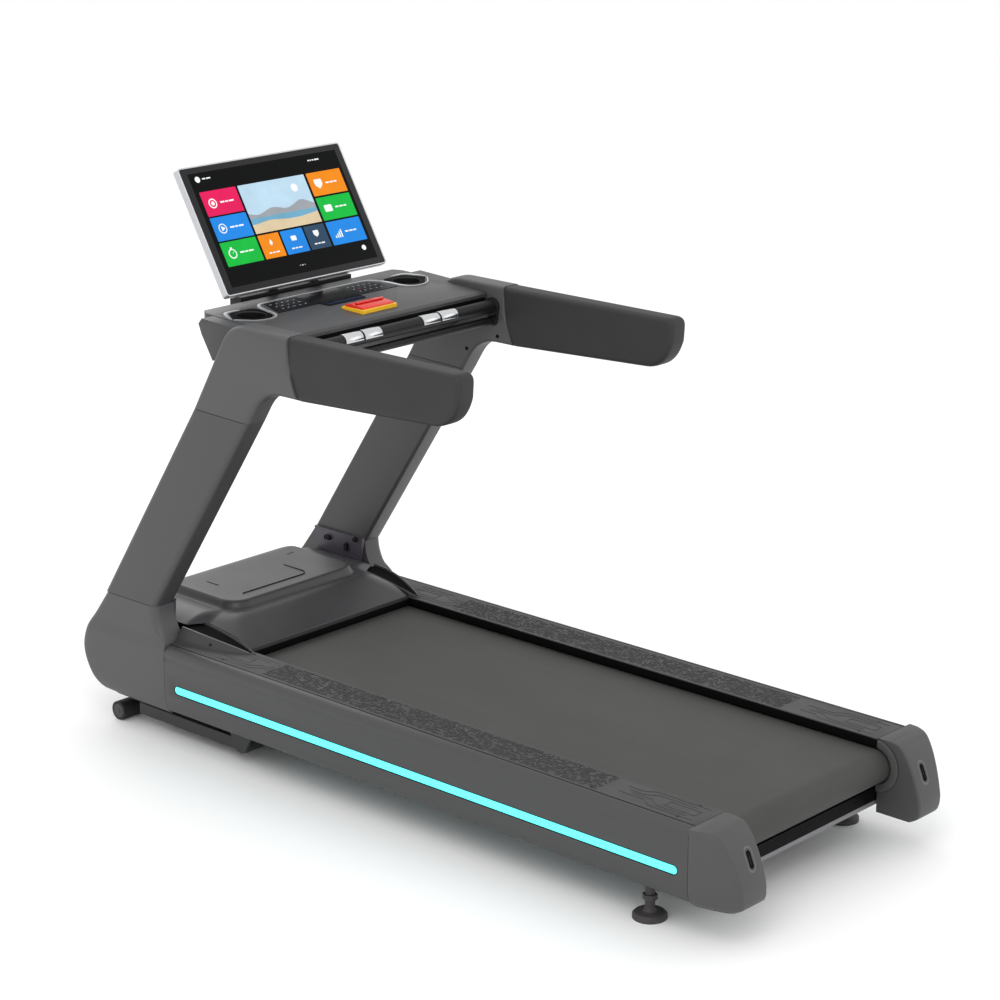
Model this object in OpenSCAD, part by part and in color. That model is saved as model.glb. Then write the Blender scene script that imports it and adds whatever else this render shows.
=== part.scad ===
// Commercial treadmill with a large console screen.
// +Z is up, +Y points to the console, +X is the runner's right.
// The origin is on the floor under the middle of the machine. Millimetres.

/* [Overall] */
// Length from the rear caps to the front boots
total_l = 2134; // [2000:1:2600]
// Width over the two side panels
total_w = 822; // [740:1:1000]
// Height of the foot rails above the floor
rail_h = 266; // [256:1:320]
// Height of the console's top above the floor
console_h = 1130; // [1050:1:1360]

/* [Running deck] */
// Width of each foot rail
foot_rail_w = 104; // [80:1:130]
// Height of the foot rails above the running belt
rail_step = 25; // [20:1:32]
// Thickness of the running belt
belt_t = 2.5; // [2:0.1:3.5]
// Radius of the front and rear rollers
roller_r = 38.2; // [30:0.1:40]
// Thickness of the deck board
deck_t = 25; // [18:1:28]
// Height of the rubber deck cushions
cushion_h = 20; // [12:1:24]

/* [Frame] */
// Width of the frame's side tubes
tube_w = 40; // [30:1:40]
// Height of the frame's side tubes
tube_h = 80; // [60:1:90]
// Wall of the steel tubes
tube_wall = 3; // [2:0.5:5]
// Wall of the moulded covers
cover_wall = 4; // [3:0.5:5]

/* [Lift] */
// Radius of the transport wheels
wheel_r = 25; // [22:1:28]
// Width of the transport wheels
wheel_w = 70; // [50:1:74]
// Distance from the lift arm's pivot to the wheel axle
arm_l = 465; // [420:1:500]
// Distance from the lift arm's pivot to the lift screw's pin
lug_r = 80; // [76:1:82]
// Whole swing of the lift arm in degrees
lift_swing = 34; // [20:1:34]

/* [Mast] */
// Lean of the uprights from the vertical in degrees
lean = 33.6; // [30:0.1:36]
// Depth of an upright, level with the floor
upright_d = 196; // [160:1:210]
// Width of an upright across the machine
upright_w = 65; // [50:1:70]
// Length of an armrest
arm_rest_l = 545; // [450:1:620]

/* [Screen] */
// Width of the screen housing
screen_w = 548; // [480:1:600]
// Height of the screen housing
screen_h = 339; // [300:1:360]
// Lean of the screen from the vertical in degrees
screen_lean = 30.5; // [24:0.5:34]

/* [Fits] */
// Radial clearance of a running shaft in its bore
run_fit = 0.05; // [0.02:0.01:0.09]
// Gap between a moving piece and its neighbours
gap = 0.4; // [0.3:0.1:0.6]

/* [Hidden] */
$fn = 64;
eps = 0.01;
LEFT = -1;
RIGHT = 1;

// Ends of the machine
y_rear = -total_l / 2;
y_front = total_l / 2;
half_w = total_w / 2;

// Side layers, from the panels inwards
rail_out = half_w - 24;
rail_in = rail_out - foot_rail_w;
belt_half = rail_in - 3;
panel_in = half_w - cover_wall;
tube_in = rail_in + 22;
tube_out = tube_in + tube_w;

// Heights, from the foot rails down
rail_t = 6;
belt_top = rail_h - rail_step;
roller_z = belt_top - belt_t - gap - roller_r;
belt_r = roller_r + gap + belt_t;
deck_z1 = belt_top - belt_t - gap;
deck_z0 = deck_z1 - deck_t;
tube_z1 = deck_z0 - cushion_h;
tube_z0 = tube_z1 - tube_h;
cover_z0 = 87;

// Places along the machine
seam_rear_y = y_rear + 120;
seam_front_y = y_front - 332;
rear_roller_y = y_rear + 125;
front_roller_y = y_front - 447;
roller_pulley_r = 45;
drive_belt_t = 3;
deck_y0 = rear_roller_y + belt_r + 12;
deck_clear = max(belt_r + 12, roller_pulley_r + drive_belt_t + 4);
deck_y1 = front_roller_y - deck_clear;
tube_y0 = rear_roller_y - 52;
tube_y1 = y_front - 137;
foot_y = y_rear + 262;
foot_x = half_w - 51;
axle_r = 10;
bolt_r = 5;
bolt_x = tube_in + tube_w / 2;

// Light strip
led_z = 160;
led_h = 21;
led_t = 3;
led_y0 = y_rear + 149;
led_y1 = y_front - 369;

// Drive
drive_x0 = belt_half + 4;
drive_w = 15;
motor_pulley_r = 20;
motor_y = y_front - 262;
motor_z = roller_z + 14;
motor_r = 55;
motor_shaft_r = 9;

// Lift linkage: the arm's pivot, its wheels, its lug and the screw's line
arm_y = y_front - 567;
arm_z = 48;
arm_t = 24;
arm_h = 30;
arm_x0 = half_w - 71;
arm_tube_r = 19;
pivot_r = 10;
ear_t = 8;
wheel_y = arm_y + sqrt(pow(arm_l, 2) - pow(arm_z - wheel_r, 2));
wheel_axle_r = 6;
wheel_x0 = half_w - 105;
lug_y = arm_y - lug_r * sin(lift_swing / 2);
lug_z = arm_z + lug_r * cos(lift_swing / 2);
lug_rise = lug_r * (1 - cos(lift_swing / 2));
screw_z = lug_z + lug_rise / 2;
screw_travel = 2 * lug_r * sin(lift_swing / 2);
screw_r = 8;
pin_r = 6;
lift_box_y = lug_y + 214;

// Uprights: the joint with the boots, the joint with the corner caps
joint_low_z = rail_h + 94;
joint_top_z = console_h - 223;
upright_x1 = half_w - 6;
upright_x0 = upright_x1 - upright_w;
mast_y0 = y_front - 100;
mast_y1 = mast_y0 - (joint_top_z - joint_low_z) * tan(lean);
bracket_t = 8;

// Armrests and console
arm_x_in = half_w - 68;
arm_x_out = half_w - 10;
arm_seam_y = mast_y1 - 336;
arm_top_z = joint_top_z + 228;
console_y0 = mast_y1 - 282;
console_y1 = mast_y1 + 50;
console_half = upright_x0 - 0.5;
nose_half = half_w - 34;
console_slope = 2.5;
bar_y = mast_y1 - 304;
bar_z = joint_top_z + 175;
cup_r = 38;
cup_x = 268;
cup_y = mast_y1 - 70;
cup_depth = 72;

// Screen: bottom front edge, thickness and hinge
screen_y = mast_y1 + 4;
screen_z = console_h + 29;
screen_t = 20;
hinge_up = 25;
hinge_back = 56;
hinge_r = 5;
hinge_y = screen_y + hinge_up * sin(screen_lean) + hinge_back * cos(screen_lean);
hinge_z = screen_z + hinge_up * cos(screen_lean) - hinge_back * sin(screen_lean);

// ---- Helpers ----

// Prism along X from a profile given as [y, z] points
module prism_x(points, x0, x1) {
    translate([x0, 0, 0])
        rotate([90, 0, 90])
            linear_extrude(x1 - x0)
                polygon(points);
}

// Prism along Y from a section given as [x, z] points
module prism_y(points, y0, y1) {
    translate([0, y1, 0])
        rotate([90, 0, 0])
            linear_extrude(y1 - y0)
                polygon(points);
}

// Prism along Z from a plan given as [x, y] points
module prism_z(points, z0, z1) {
    translate([0, 0, z0])
        linear_extrude(z1 - z0)
            polygon(points);
}

// Box from its lowest to its highest corner
module box(low, high) {
    translate(low)
        cube(high - low);
}

// Round bar along X, Y or Z
module bar_x(r, x0, x1, y, z) {
    translate([x0, y, z])
        rotate([0, 90, 0])
            cylinder(r = r, h = x1 - x0);
}

module bar_y(r, y0, y1, x, z) {
    translate([x, y1, z])
        rotate([90, 0, 0])
            cylinder(r = r, h = y1 - y0);
}

module bar_z(r, z0, z1, x, y) {
    translate([x, y, z0])
        cylinder(r = r, h = z1 - z0);
}

// Children as drawn for the right side, or mirrored for the left one
module on_side(s) {
    if (s == RIGHT)
        children();
    else
        mirror([1, 0, 0])
            children();
}

// Plate in the XY plane with round corners
module round_plate(x0, x1, y0, y1, r) {
    square_part = [x1 - x0, y1 - y0];
    translate([x0 + r, y0])
        square([square_part.x - 2 * r, square_part.y]);
    translate([x0, y0 + r])
        square([square_part.x, square_part.y - 2 * r]);
    for (x = [x0 + r, x1 - r], y = [y0 + r, y1 - r])
        translate([x, y])
            circle(r);
}

// Slot with round ends along X, centred on the origin
module stadium(l, w) {
    square([l - w, w], center = true);
    for (s = [-1, 1])
        translate([s * (l - w) / 2, 0])
            circle(w / 2);
}

// Places the children in the screen's own axes: X across, Y up the face, Z out of the face
module on_screen() {
    translate([0, screen_y, screen_z])
        rotate([90 - screen_lean, 0, 0])
            children();
}

// ---- Frame ----

outrigger_y0 = foot_y + 60;
outrigger_ys = [for (i = [0 : 5]) outrigger_y0 + i * (seam_front_y - outrigger_y0 - 120) / 5];

module frame_rails() {
    color("#2b2b2d")
        for (s = [LEFT, RIGHT])
            on_side(s)
                frame_rail();
}

// One side tube with its two axle blocks and the plate that holds its tension bolt
module frame_rail() {
    difference() {
        union() {
            box([tube_in, tube_y0, tube_z0], [tube_out, tube_y1, tube_z1]);
            box([tube_in, tube_y0, tube_z1 - eps], [tube_out, tube_y0 + 6, roller_z + 16]);
            for (y = [rear_roller_y, front_roller_y])
                box([tube_in, y - 20, tube_z1 - tube_wall], [tube_out, y + 20, roller_z + 4]);
        }
        box([tube_in + tube_wall, tube_y0 - 1, tube_z0 + tube_wall],
            [tube_out - tube_wall, tube_y1 + 1, tube_z1 - tube_wall]);
        for (y = [rear_roller_y, front_roller_y])
            axle_notch(y);
        bar_y(bolt_r, tube_y0 - 1, rear_roller_y, bolt_x, roller_z);
    }
}

// Open seat for a roller axle, cut through the block on the side tube
module axle_notch(y) {
    box([tube_in - 1, y - axle_r - gap, roller_z - axle_r - gap],
        [tube_out + 1, y + axle_r + gap, roller_z + 5]);
}

module rail_outriggers() {
    color("#2b2b2d")
        for (s = [LEFT, RIGHT], y = outrigger_ys)
            on_side(s)
                outrigger(y);
}

// Plate welded to a side tube that holds the side panel and the foot rail
module outrigger(y) {
    reach = panel_in - 0.5;
    prism_y([[tube_out, tube_z0], [reach, tube_z0 + 25], [reach, rail_h - 28],
             [rail_out - 8, rail_h - 22], [rail_out - 8, rail_h - rail_t], [tube_out, rail_h - rail_t]],
            y - 3, y + 3);
}

// Brackets welded to the outside of each side tube
module rail_brackets() {
    color("#2b2b2d")
        for (s = [LEFT, RIGHT])
            on_side(s) {
                foot_bracket();
                pivot_ear();
                box([tube_out, mast_y0 - 200, tube_z1 - 8], [panel_in - 14, tube_y1, tube_z1]);
            }
}

module foot_bracket() {
    difference() {
        box([tube_out, foot_y - 40, tube_z0], [panel_in - 14, foot_y + 40, tube_z0 + 10]);
        bar_z(11 + run_fit, tube_z0 - 1, tube_z0 + 11, foot_x, foot_y);
    }
}

// Ear outside the lift arm that carries the pivot shaft
module pivot_ear() {
    ear_x0 = arm_x0 + arm_t + 1;
    difference() {
        union() {
            prism_x([[arm_y - 60, tube_z0 + 8], [arm_y - 16, arm_z - 10], [arm_y + 16, arm_z - 10],
                     [arm_y + 60, tube_z0 + 8]], ear_x0, ear_x0 + ear_t);
            bar_x(16, ear_x0, ear_x0 + ear_t, arm_y, arm_z);
            box([tube_out, arm_y - 60, tube_z0], [ear_x0 + ear_t, arm_y + 60, tube_z0 + 8]);
        }
        bar_x(pivot_r, ear_x0 - 1, ear_x0 + ear_t + 1, arm_y, arm_z);
    }
}

cross_ys = [deck_y0 + 250, deck_y0 + 800, arm_y - 125, tube_y1 - 40];
cross_h = 36;

module frame_crossmembers() {
    color("#333335") {
        for (y = cross_ys)
            cross_tube(y);
        pivot_shaft();
    }
}

// Square tube between the side tubes, under the belt's return run
module cross_tube(y) {
    difference() {
        box([-tube_in, y - 25, tube_z0], [tube_in, y + 25, tube_z0 + cross_h]);
        box([-tube_in - 1, y - 25 + tube_wall, tube_z0 + tube_wall],
            [tube_in + 1, y + 25 - tube_wall, tube_z0 + cross_h - tube_wall]);
    }
}

// Shaft that the lift arm turns on
module pivot_shaft() {
    reach = arm_x0 + arm_t + 1 + ear_t;
    bar_x(pivot_r, -reach, reach, arm_y, arm_z);
}

bar_rear_y = rear_roller_y + 4;

module rear_crossbar() {
    color("#0e0e0f")
        box([-tube_in, bar_rear_y - 5, roller_z - 88], [tube_in, bar_rear_y + 30, roller_z - 56]);
}

module rear_lower_bar() {
    color("#77777a")
        box([-tube_in, bar_rear_y - 2, roller_z - 101], [tube_in, bar_rear_y + 26, roller_z - 88]);
}

mount_z = tube_z0 + 2;
mount_t = 5;
cradle_t = 8;
cradle_xs = [20, 170];

// Plate under the drive motor, cut out round the lift motor's bracket and its screw cover
module motor_mount() {
    color("#2e2e30") {
        difference() {
            box([-tube_in, motor_y - 70, mount_z], [tube_in, tube_y1 - 70, mount_z + mount_t]);
            box([lift_bracket_x0, motor_y - 71, mount_z - 1], [lift_bracket_x1, lift_bracket_y1, mount_z + mount_t + 1]);
            box([-cradle_xs[0] + 2, motor_y - 71, mount_z - 1], [cradle_xs[0] - 2, cover_tube_y1 + 4, mount_z + mount_t + 1]);
        }
        for (x = cradle_xs)
            motor_cradle(x);
    }
}

// Upright plate with a round seat for the motor
module motor_cradle(x) {
    difference() {
        box([x, motor_y - 60, mount_z + mount_t - eps], [x + cradle_t, motor_y + 54, motor_z]);
        bar_x(motor_r, x - 1, x + cradle_t + 1, motor_y, motor_z);
    }
}

// ---- Deck and belt ----

module running_deck() {
    color("#4a3b2e")
        box([-tube_out + 4, deck_y0, deck_z0], [tube_out - 4, deck_y1, deck_z1]);
}

cushion_count = 6;

module deck_cushions() {
    color("#1c1c1c")
        for (s = [-1, 1], i = [0 : cushion_count - 1])
            bar_z(16, tube_z1, deck_z0, s * (tube_in + tube_w / 2),
                  deck_y0 + 100 + i * (deck_y1 - deck_y0 - 200) / (cushion_count - 1));
}

// Outline of the belt loop, grown by d from the rollers' surface
module belt_loop(d) {
    for (y = [rear_roller_y, front_roller_y])
        translate([y, roller_z])
            circle(roller_r + d);
    translate([rear_roller_y, roller_z - roller_r - d])
        square([front_roller_y - rear_roller_y, 2 * (roller_r + d)]);
}

module running_belt() {
    color("#4c4c49")
        translate([-belt_half, 0, 0])
            rotate([90, 0, 90])
                linear_extrude(2 * belt_half)
                    difference() {
                        belt_loop(gap + belt_t);
                        belt_loop(gap);
                    }
}

roller_half = belt_half + 1;

// Steel roller that turns on its fixed axle
module roller(y) {
    difference() {
        bar_x(roller_r, -roller_half, roller_half, y, roller_z);
        bar_x(axle_r + run_fit, -roller_half - 1, roller_half + 1, y, roller_z);
        bar_x(roller_r - 4, -roller_half + 15, roller_half - 15, y, roller_z);
    }
}

module front_roller() {
    color("#8c8c8e") {
        roller(front_roller_y);
        difference() {
            union() {
                bar_x(roller_pulley_r, drive_x0, drive_x0 + drive_w, front_roller_y, roller_z);
                bar_x(20, roller_half, drive_x0, front_roller_y, roller_z);
            }
            bar_x(axle_r + run_fit, roller_half - 1, drive_x0 + drive_w + 1, front_roller_y, roller_z);
        }
    }
}

module rear_roller() {
    color("#8c8c8e")
        roller(rear_roller_y);
}

module roller_axles() {
    color("#9a9a9c")
        for (y = [front_roller_y, rear_roller_y])
            bar_x(axle_r, -tube_out + 2, tube_out - 2, y, roller_z);
}

// Screws that pull the rear axle back to tension the belt
module tension_bolts() {
    color("#6d6d70")
        for (s = [-1, 1]) {
            bar_y(bolt_r, tube_y0 - 8, rear_roller_y - axle_r, s * bolt_x, roller_z);
            bar_y(bolt_r + 4, tube_y0 - 16, tube_y0 - 8, s * bolt_x, roller_z);
        }
}

// ---- Drive ----

module drive_motor() {
    color("#3b3b3e") {
        bar_x(motor_r, -120, 190, motor_y, motor_z);
        bar_x(motor_r - 10, 190, 222, motor_y, motor_z);
        difference() {
            bar_x(18, 222, 246, motor_y, motor_z);
            bar_x(motor_shaft_r + run_fit, 223, 247, motor_y, motor_z);
        }
    }
}

module motor_pulley() {
    color("#a5a5a8") {
        bar_x(motor_pulley_r, drive_x0, drive_x0 + drive_w, motor_y, motor_z);
        bar_x(motor_shaft_r, 230, drive_x0, motor_y, motor_z);
    }
}

// Outline of the drive belt's loop as [y, z] points, d outside the pulleys
function drive_loop(d) =
    let (reach = sqrt(pow(motor_y - front_roller_y, 2) + pow(motor_z - roller_z, 2)),
         tilt = atan2(motor_z - roller_z, motor_y - front_roller_y),
         wrap = acos((roller_pulley_r - motor_pulley_r) / reach),
         big = roller_pulley_r + d,
         small = motor_pulley_r + d)
    [
        for (i = [0 : 32])
            let (a = tilt + wrap + i * (360 - 2 * wrap) / 32)
                [front_roller_y + big * cos(a), roller_z + big * sin(a)],
        for (i = [0 : 24])
            let (a = tilt - wrap + i * 2 * wrap / 24)
                [motor_y + small * cos(a), motor_z + small * sin(a)]
    ];

module drive_belt() {
    color("#1a1a1a")
        translate([drive_x0 + 1, 0, 0])
            rotate([90, 0, 90])
                linear_extrude(drive_w - 2)
                    difference() {
                        polygon(drive_loop(2 * gap + drive_belt_t));
                        polygon(drive_loop(2 * gap));
                    }
}

module controller_box() {
    color("#b9babd")
        box([-270, motor_y - 65, mount_z + mount_t], [-140, motor_y + 50, mount_z + 75]);
}

// ---- Lift ----

module lift_arm() {
    color("#2c2c2e")
        difference() {
            union() {
                for (s = [LEFT, RIGHT])
                    on_side(s)
                        lift_arm_side();
                bar_x(arm_tube_r, -arm_x0 - arm_t, arm_x0 + arm_t, arm_y, arm_z);
                box([-arm_x0 - arm_t, wheel_y - 100, arm_z - 14], [arm_x0 + arm_t, wheel_y - 72, arm_z + 14]);
                lift_lug();
            }
            bar_x(pivot_r + run_fit, -arm_x0 - arm_t - 1, arm_x0 + arm_t + 1, arm_y, arm_z);
            bar_x(pin_r + lug_rise / 2 + 1, -20, 20, lug_y, lug_z);
        }
}

// Bar, wheel plate and stub axle of one side
module lift_arm_side() {
    box([arm_x0, arm_y, arm_z - arm_h / 2], [arm_x0 + arm_t, wheel_y - 72, arm_z + arm_h / 2]);
    prism_x([[wheel_y - 90, arm_z - 14], [wheel_y - 10, wheel_r - 14], [wheel_y + 14, wheel_r - 8],
             [wheel_y + 16, wheel_r + 8], [wheel_y - 40, arm_z + 14], [wheel_y - 90, arm_z + 14]],
            wheel_x0 - 14, wheel_x0 - 2);
    bar_x(wheel_axle_r, wheel_x0 - 8, wheel_x0 + wheel_w - 6, wheel_y, wheel_r);
}

// Lug that the lift screw pulls
module lift_lug() {
    difference() {
        hull()
            for (p = [[arm_y, arm_z, 16], [lug_y, lug_z, 15]])
                bar_x(p[2], -6, 6, p[0], p[1]);
        bar_x(pin_r + lug_rise / 2 + 1, -20, 20, lug_y, lug_z);
    }
}

// Lift gearbox, the bracket that bolts it to the motor plate and the tube that covers its screw
lift_box_y1 = lift_box_y + 42;
lift_bracket_x0 = -60;
lift_bracket_x1 = 40;
lift_bracket_y1 = motor_y - 60;
cover_tube_y1 = lift_box_y1 + screw_travel + 30;

module lift_motor() {
    color("#55565a")
        difference() {
            union() {
                box([-95, lift_box_y, screw_z - 30], [28, lift_box_y1, screw_z + 24]);
                bar_y(29, lift_box_y - 130, lift_box_y, -62, screw_z - 5);
                bar_y(16, lift_box_y1, cover_tube_y1, 0, screw_z);
                box([lift_bracket_x0, lift_box_y1, mount_z - 12], [lift_bracket_x1, lift_bracket_y1, mount_z + mount_t]);
            }
            bar_y(screw_r + gap, lift_box_y - 1, cover_tube_y1 - 10, 0, screw_z);
        }
}

module lift_screw() {
    fork_y = lug_y + 24;
    color("#b4b4b8") {
        bar_y(screw_r, fork_y, lift_box_y1 + 10, 0, screw_z);
        bar_x(pin_r, -22, 22, lug_y, screw_z);
        box([-18, fork_y, screw_z - 12], [18, fork_y + 14, screw_z + 12]);
        for (x = [-18, 10])
            box([x, lug_y - 12, screw_z - 12], [x + 8, fork_y, screw_z + 12]);
    }
}

// Ribbed transport wheel with a true bore
module wheel(s) {
    color("#1b1b1c")
        on_side(s)
            difference() {
                bar_x(wheel_r, wheel_x0, wheel_x0 + wheel_w, wheel_y, wheel_r);
                bar_x(wheel_axle_r + run_fit, wheel_x0 - 1, wheel_x0 + wheel_w + 1, wheel_y, wheel_r);
                bar_x(wheel_r - 8, wheel_x0 + wheel_w - 4, wheel_x0 + wheel_w + 1, wheel_y, wheel_r);
            }
}

// Levelling foot: pad, stem and lock nut
module foot(s) {
    color("#554f4f")
        on_side(s)
            translate([foot_x, foot_y, 0]) {
                rotate_extrude()
                    polygon([[0, 0], [39, 0], [39, 9], [34, 14], [16, 17], [12, 24], [11, 26], [11, tube_z0 + 42],
                             [0, tube_z0 + 42]]);
                translate([0, 0, 44])
                    cylinder(r = 17, h = 12, $fn = 6);
            }
}

// ---- Covers ----

// Section of a side panel as [x, z] points, set in by d
function panel_section(d) = [
    [half_w - 22 + d * 0.6, rail_h - d], [half_w - 9, rail_h - 6 - d], [half_w - d, rail_h - 22],
    [half_w - d, 132], [half_w - 6 - d, 108], [half_w - 19, cover_z0 + 8 + d]
];

module side_panel(s) {
    inner = panel_section(cover_wall);
    color("#5a5a5a")
        on_side(s)
            difference() {
                prism_y(concat(panel_section(0), [[half_w - 22, cover_z0 + 8], [half_w - 22, cover_z0 + 12]],
                               [for (i = [5 : -1 : 0]) inner[i]]),
                        seam_rear_y + 0.5, seam_front_y - 0.5);
                led_slot(0.3, led_t + 0.3);
            }
}

// Stadium-shaped slot of the light strip
module led_slot(d, depth) {
    translate([half_w - depth, (led_y0 + led_y1) / 2, led_z])
        rotate([90, 0, 90])
            linear_extrude(depth + (d > 0 ? 1 : 0))
                stadium(led_y1 - led_y0 + 2 * d, led_h + 2 * d);
}

module led_strips() {
    color("#66fffb")
        for (s = [LEFT, RIGHT])
            on_side(s)
                led_slot(0, led_t);
}

screw_pair_count = 7;
screw_ys = [for (i = [0 : screw_pair_count - 1])
    seam_rear_y + 60 + i * (seam_front_y - 120 - seam_rear_y - 120) / (screw_pair_count - 1)];

module foot_rail(s) {
    y0 = seam_rear_y + 1;
    y1 = seam_front_y - 0.5;
    color("#5e5e5e")
        on_side(s)
            difference() {
                union() {
                    box([rail_in, y0, rail_h - rail_t], [rail_out, y1, rail_h]);
                    box([rail_in, y0, belt_top + 5], [rail_in + 3, front_roller_y - 60, rail_h - rail_t + eps]);
                    box([rail_out - 3, y0, rail_h - 16], [rail_out, y1, rail_h - rail_t + eps]);
                }
                for (y = screw_ys, x = [rail_in + 12, rail_out - 14])
                    rail_screw_at(x, y, 0.2);
            }
}

// Sunk head and shank of one foot rail screw
module rail_screw_at(x, y, d) {
    bar_z(4.2 + d, rail_h - 2.5 - d, rail_h + (d > 0 ? 1 : -0.3), x, y);
    bar_z(2.2 + d, rail_h - rail_t + (d > 0 ? -1 : 0.2), rail_h - 2, x, y);
}

module rail_screws() {
    color("#2a2a2a")
        for (s = [-1, 1], y = screw_ys, x = [rail_in + 12, rail_out - 14])
            rail_screw_at(s * x, y, 0);
}

// Side profile of a rear cap as [y, z] points, set in by d
function cap_profile(d) = [
    [seam_rear_y, rail_h - d], [y_rear + 80, rail_h - d], [y_rear + 53, rail_h - 11 - d],
    [y_rear + 32 + d, rail_h - 43], [y_rear + 13 + d, rail_h - 87], [y_rear + d, rail_h - 133],
    [y_rear + d, rail_h - 150], [y_rear + 6 + d, cover_z0 + 10 + d], [y_rear + 26 + d, cover_z0 - 3 + d],
    [seam_rear_y, cover_z0 + d]
];

// Plan of a rear cap as [x, y] points, set in by d
function cap_plan(d) = [
    [rail_in + 4 + d, seam_rear_y], [rail_in + 4 + d, y_rear], [half_w - 36 - d, y_rear],
    [half_w - 30 - d, y_rear + 20], [half_w - 11 - d, y_rear + 80], [half_w - d, seam_rear_y]
];

module rear_cap(s) {
    color("#606060")
        on_side(s)
            difference() {
                intersection() {
                    prism_x(cap_profile(0), 0, half_w);
                    prism_z(cap_plan(0), 0, rail_h + 1);
                }
                intersection() {
                    prism_x(concat(cap_profile(cover_wall), [[seam_rear_y + 1, cover_z0 + cover_wall],
                            [seam_rear_y + 1, rail_h - cover_wall]]), 0, half_w);
                    prism_z(concat(cap_plan(cover_wall), [[half_w - cover_wall, seam_rear_y + 1],
                            [rail_in + 4 + cover_wall, seam_rear_y + 1]]), 0, rail_h + 1);
                }
                cap_slot();
                cap_cutouts();
            }
}

// Long slot in the rear face that gives reach to the tension bolt
module cap_slot() {
    slot_w = 9;
    for (z = [rail_h - 84, rail_h - 52])
        bar_y(slot_w / 2, y_rear - 1, y_rear + 70, bolt_x, z);
    box([bolt_x - slot_w / 2, y_rear - 1, rail_h - 84], [bolt_x + slot_w / 2, y_rear + 70, rail_h - 52]);
}

// Windows for the roller axle and the rear bars in the inner wall
module cap_cutouts() {
    box([rail_in, rear_roller_y - 20, roller_z - 20], [rail_in + 12, rear_roller_y + 20, roller_z + 20]);
    box([rail_in, bar_rear_y - 8, roller_z - 104], [rail_in + 12, bar_rear_y + 34, roller_z - 53]);
}

guard_in = 45;
guard_out = 63;

module roller_guards() {
    color("#4b4b4b")
        for (s = [LEFT, RIGHT])
            on_side(s)
                difference() {
                    bar_x(guard_out, rail_in - 3, rail_in + 4, rear_roller_y, roller_z);
                    bar_x(guard_in, rail_in - 4, rail_in + 5, rear_roller_y, roller_z);
                    box([rail_in - 4, rear_roller_y - 5, roller_z - 80], [rail_in + 5, rear_roller_y + 80, roller_z + 80]);
                }
}

// Side profile of the motor hood as [y, z] points, set in by d
hood_z = rail_h + 76;
hood_y0 = front_roller_y - 66;
function hood_profile(d) = [
    [hood_y0 + d, rail_h - 6 + d / 2], [hood_y0 + 2 + d, rail_h + 4 - d], [hood_y0 + 98, hood_z - 8 - d],
    [hood_y0 + 112, hood_z - d], [y_front - 125, hood_z - d], [y_front - 104 - d, hood_z - 12 - d],
    [y_front - 52 - d, hood_z - 90], [y_front - 34 - d, rail_h - 106], [y_front - 60 - d, cover_z0 + 2 + d],
    [y_front - 128, cover_z0 + d], [y_front - 128, cover_z0 + 14], [hood_y0 + 40, rail_h - 6]
];

hood_half = upright_x0 - bracket_t - 3;
function hood_section(d) = [
    [-hood_half + d, 0], [-hood_half + d, rail_h + 30 - d], [-hood_half + 78, hood_z + 1 - d],
    [hood_half - 78, hood_z + 1 - d], [hood_half - d, rail_h + 30 - d], [hood_half - d, 0]
];

horn_y1 = seam_front_y - 1;
horn_x0 = rail_in + 1;
function hood_plan(d) = [
    for (s = [1, -1]) each [for (p = (s > 0 ? [0, 1, 2, 3] : [3, 2, 1, 0]))
        [s * [horn_x0 - 1.5 - d, horn_x0 - 1.5 - d, hood_half - d, hood_half - d][p],
         [hood_y0 - 1, horn_y1 - 60, horn_y1 + 2, y_front][p]]]
];

module hood_solid(d) {
    intersection() {
        prism_x(hood_profile(d), -half_w, half_w);
        prism_y(hood_section(d), hood_y0 - 1, y_front);
        prism_z(hood_plan(d), 0, hood_z + 2);
    }
}

module motor_hood() {
    color("#585858")
        difference() {
            union() {
                difference() {
                    hood_solid(0);
                    hood_solid(cover_wall);
                    box([-half_w, front_roller_y - 90, 0], [half_w, y_front - 128, rail_h - 5]);
                    box([-half_w, y_front - 129, 0], [half_w, y_front - 70, cover_z0 + 14]);
                    for (s = [LEFT, RIGHT])
                        on_side(s)
                            box([rail_in - 0.2, hood_y0 - 1, 0], [half_w, seam_front_y, rail_h + 0.1]);
                }
                translate([0, 0, hood_z - eps])
                    linear_extrude(5)
                        round_plate(-205, 205, hood_y0 + 140, y_front - 140, 40);
            }
            inlet_hole();
        }
}

// Window for the power inlet low in the hood's front face
inlet_x = -230;
inlet_z = rail_h - 140;
inlet_y = y_front - 42;

module inlet_hole() {
    box([inlet_x - 35, inlet_y - 60, inlet_z - 14], [inlet_x + 35, y_front, inlet_z + 14]);
}

module hood_horns() {
    color("#505050")
        for (s = [LEFT, RIGHT])
            on_side(s)
                hood_horn();
}

// Raised fairing on a foot rail's front end, beside the hood
module hood_horn() {
    intersection() {
        prism_x([[hood_y0 - 30, rail_h], [hood_y0 - 28, rail_h + 3], [hood_y0 + 8, rail_h + 16],
                 [hood_y0 + 66, rail_h + 30], [horn_y1, rail_h + 36], [horn_y1, rail_h]],
                horn_x0, rail_out + 2);
        prism_y([[horn_x0, rail_h], [horn_x0, rail_h + 36], [horn_x0 + 30, rail_h + 36],
                 [rail_out + 2, rail_h + 18], [rail_out + 2, rail_h]], hood_y0 - 40, horn_y1);
        prism_z([[horn_x0, hood_y0 - 40], [horn_x0, horn_y1 - 62], [hood_half + 1, horn_y1 + 1],
                 [rail_out + 2, horn_y1 + 1], [rail_out + 2, hood_y0 + 20],
                 [horn_x0 + 40, hood_y0 - 32]], 0, hood_z);
    }
}

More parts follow.
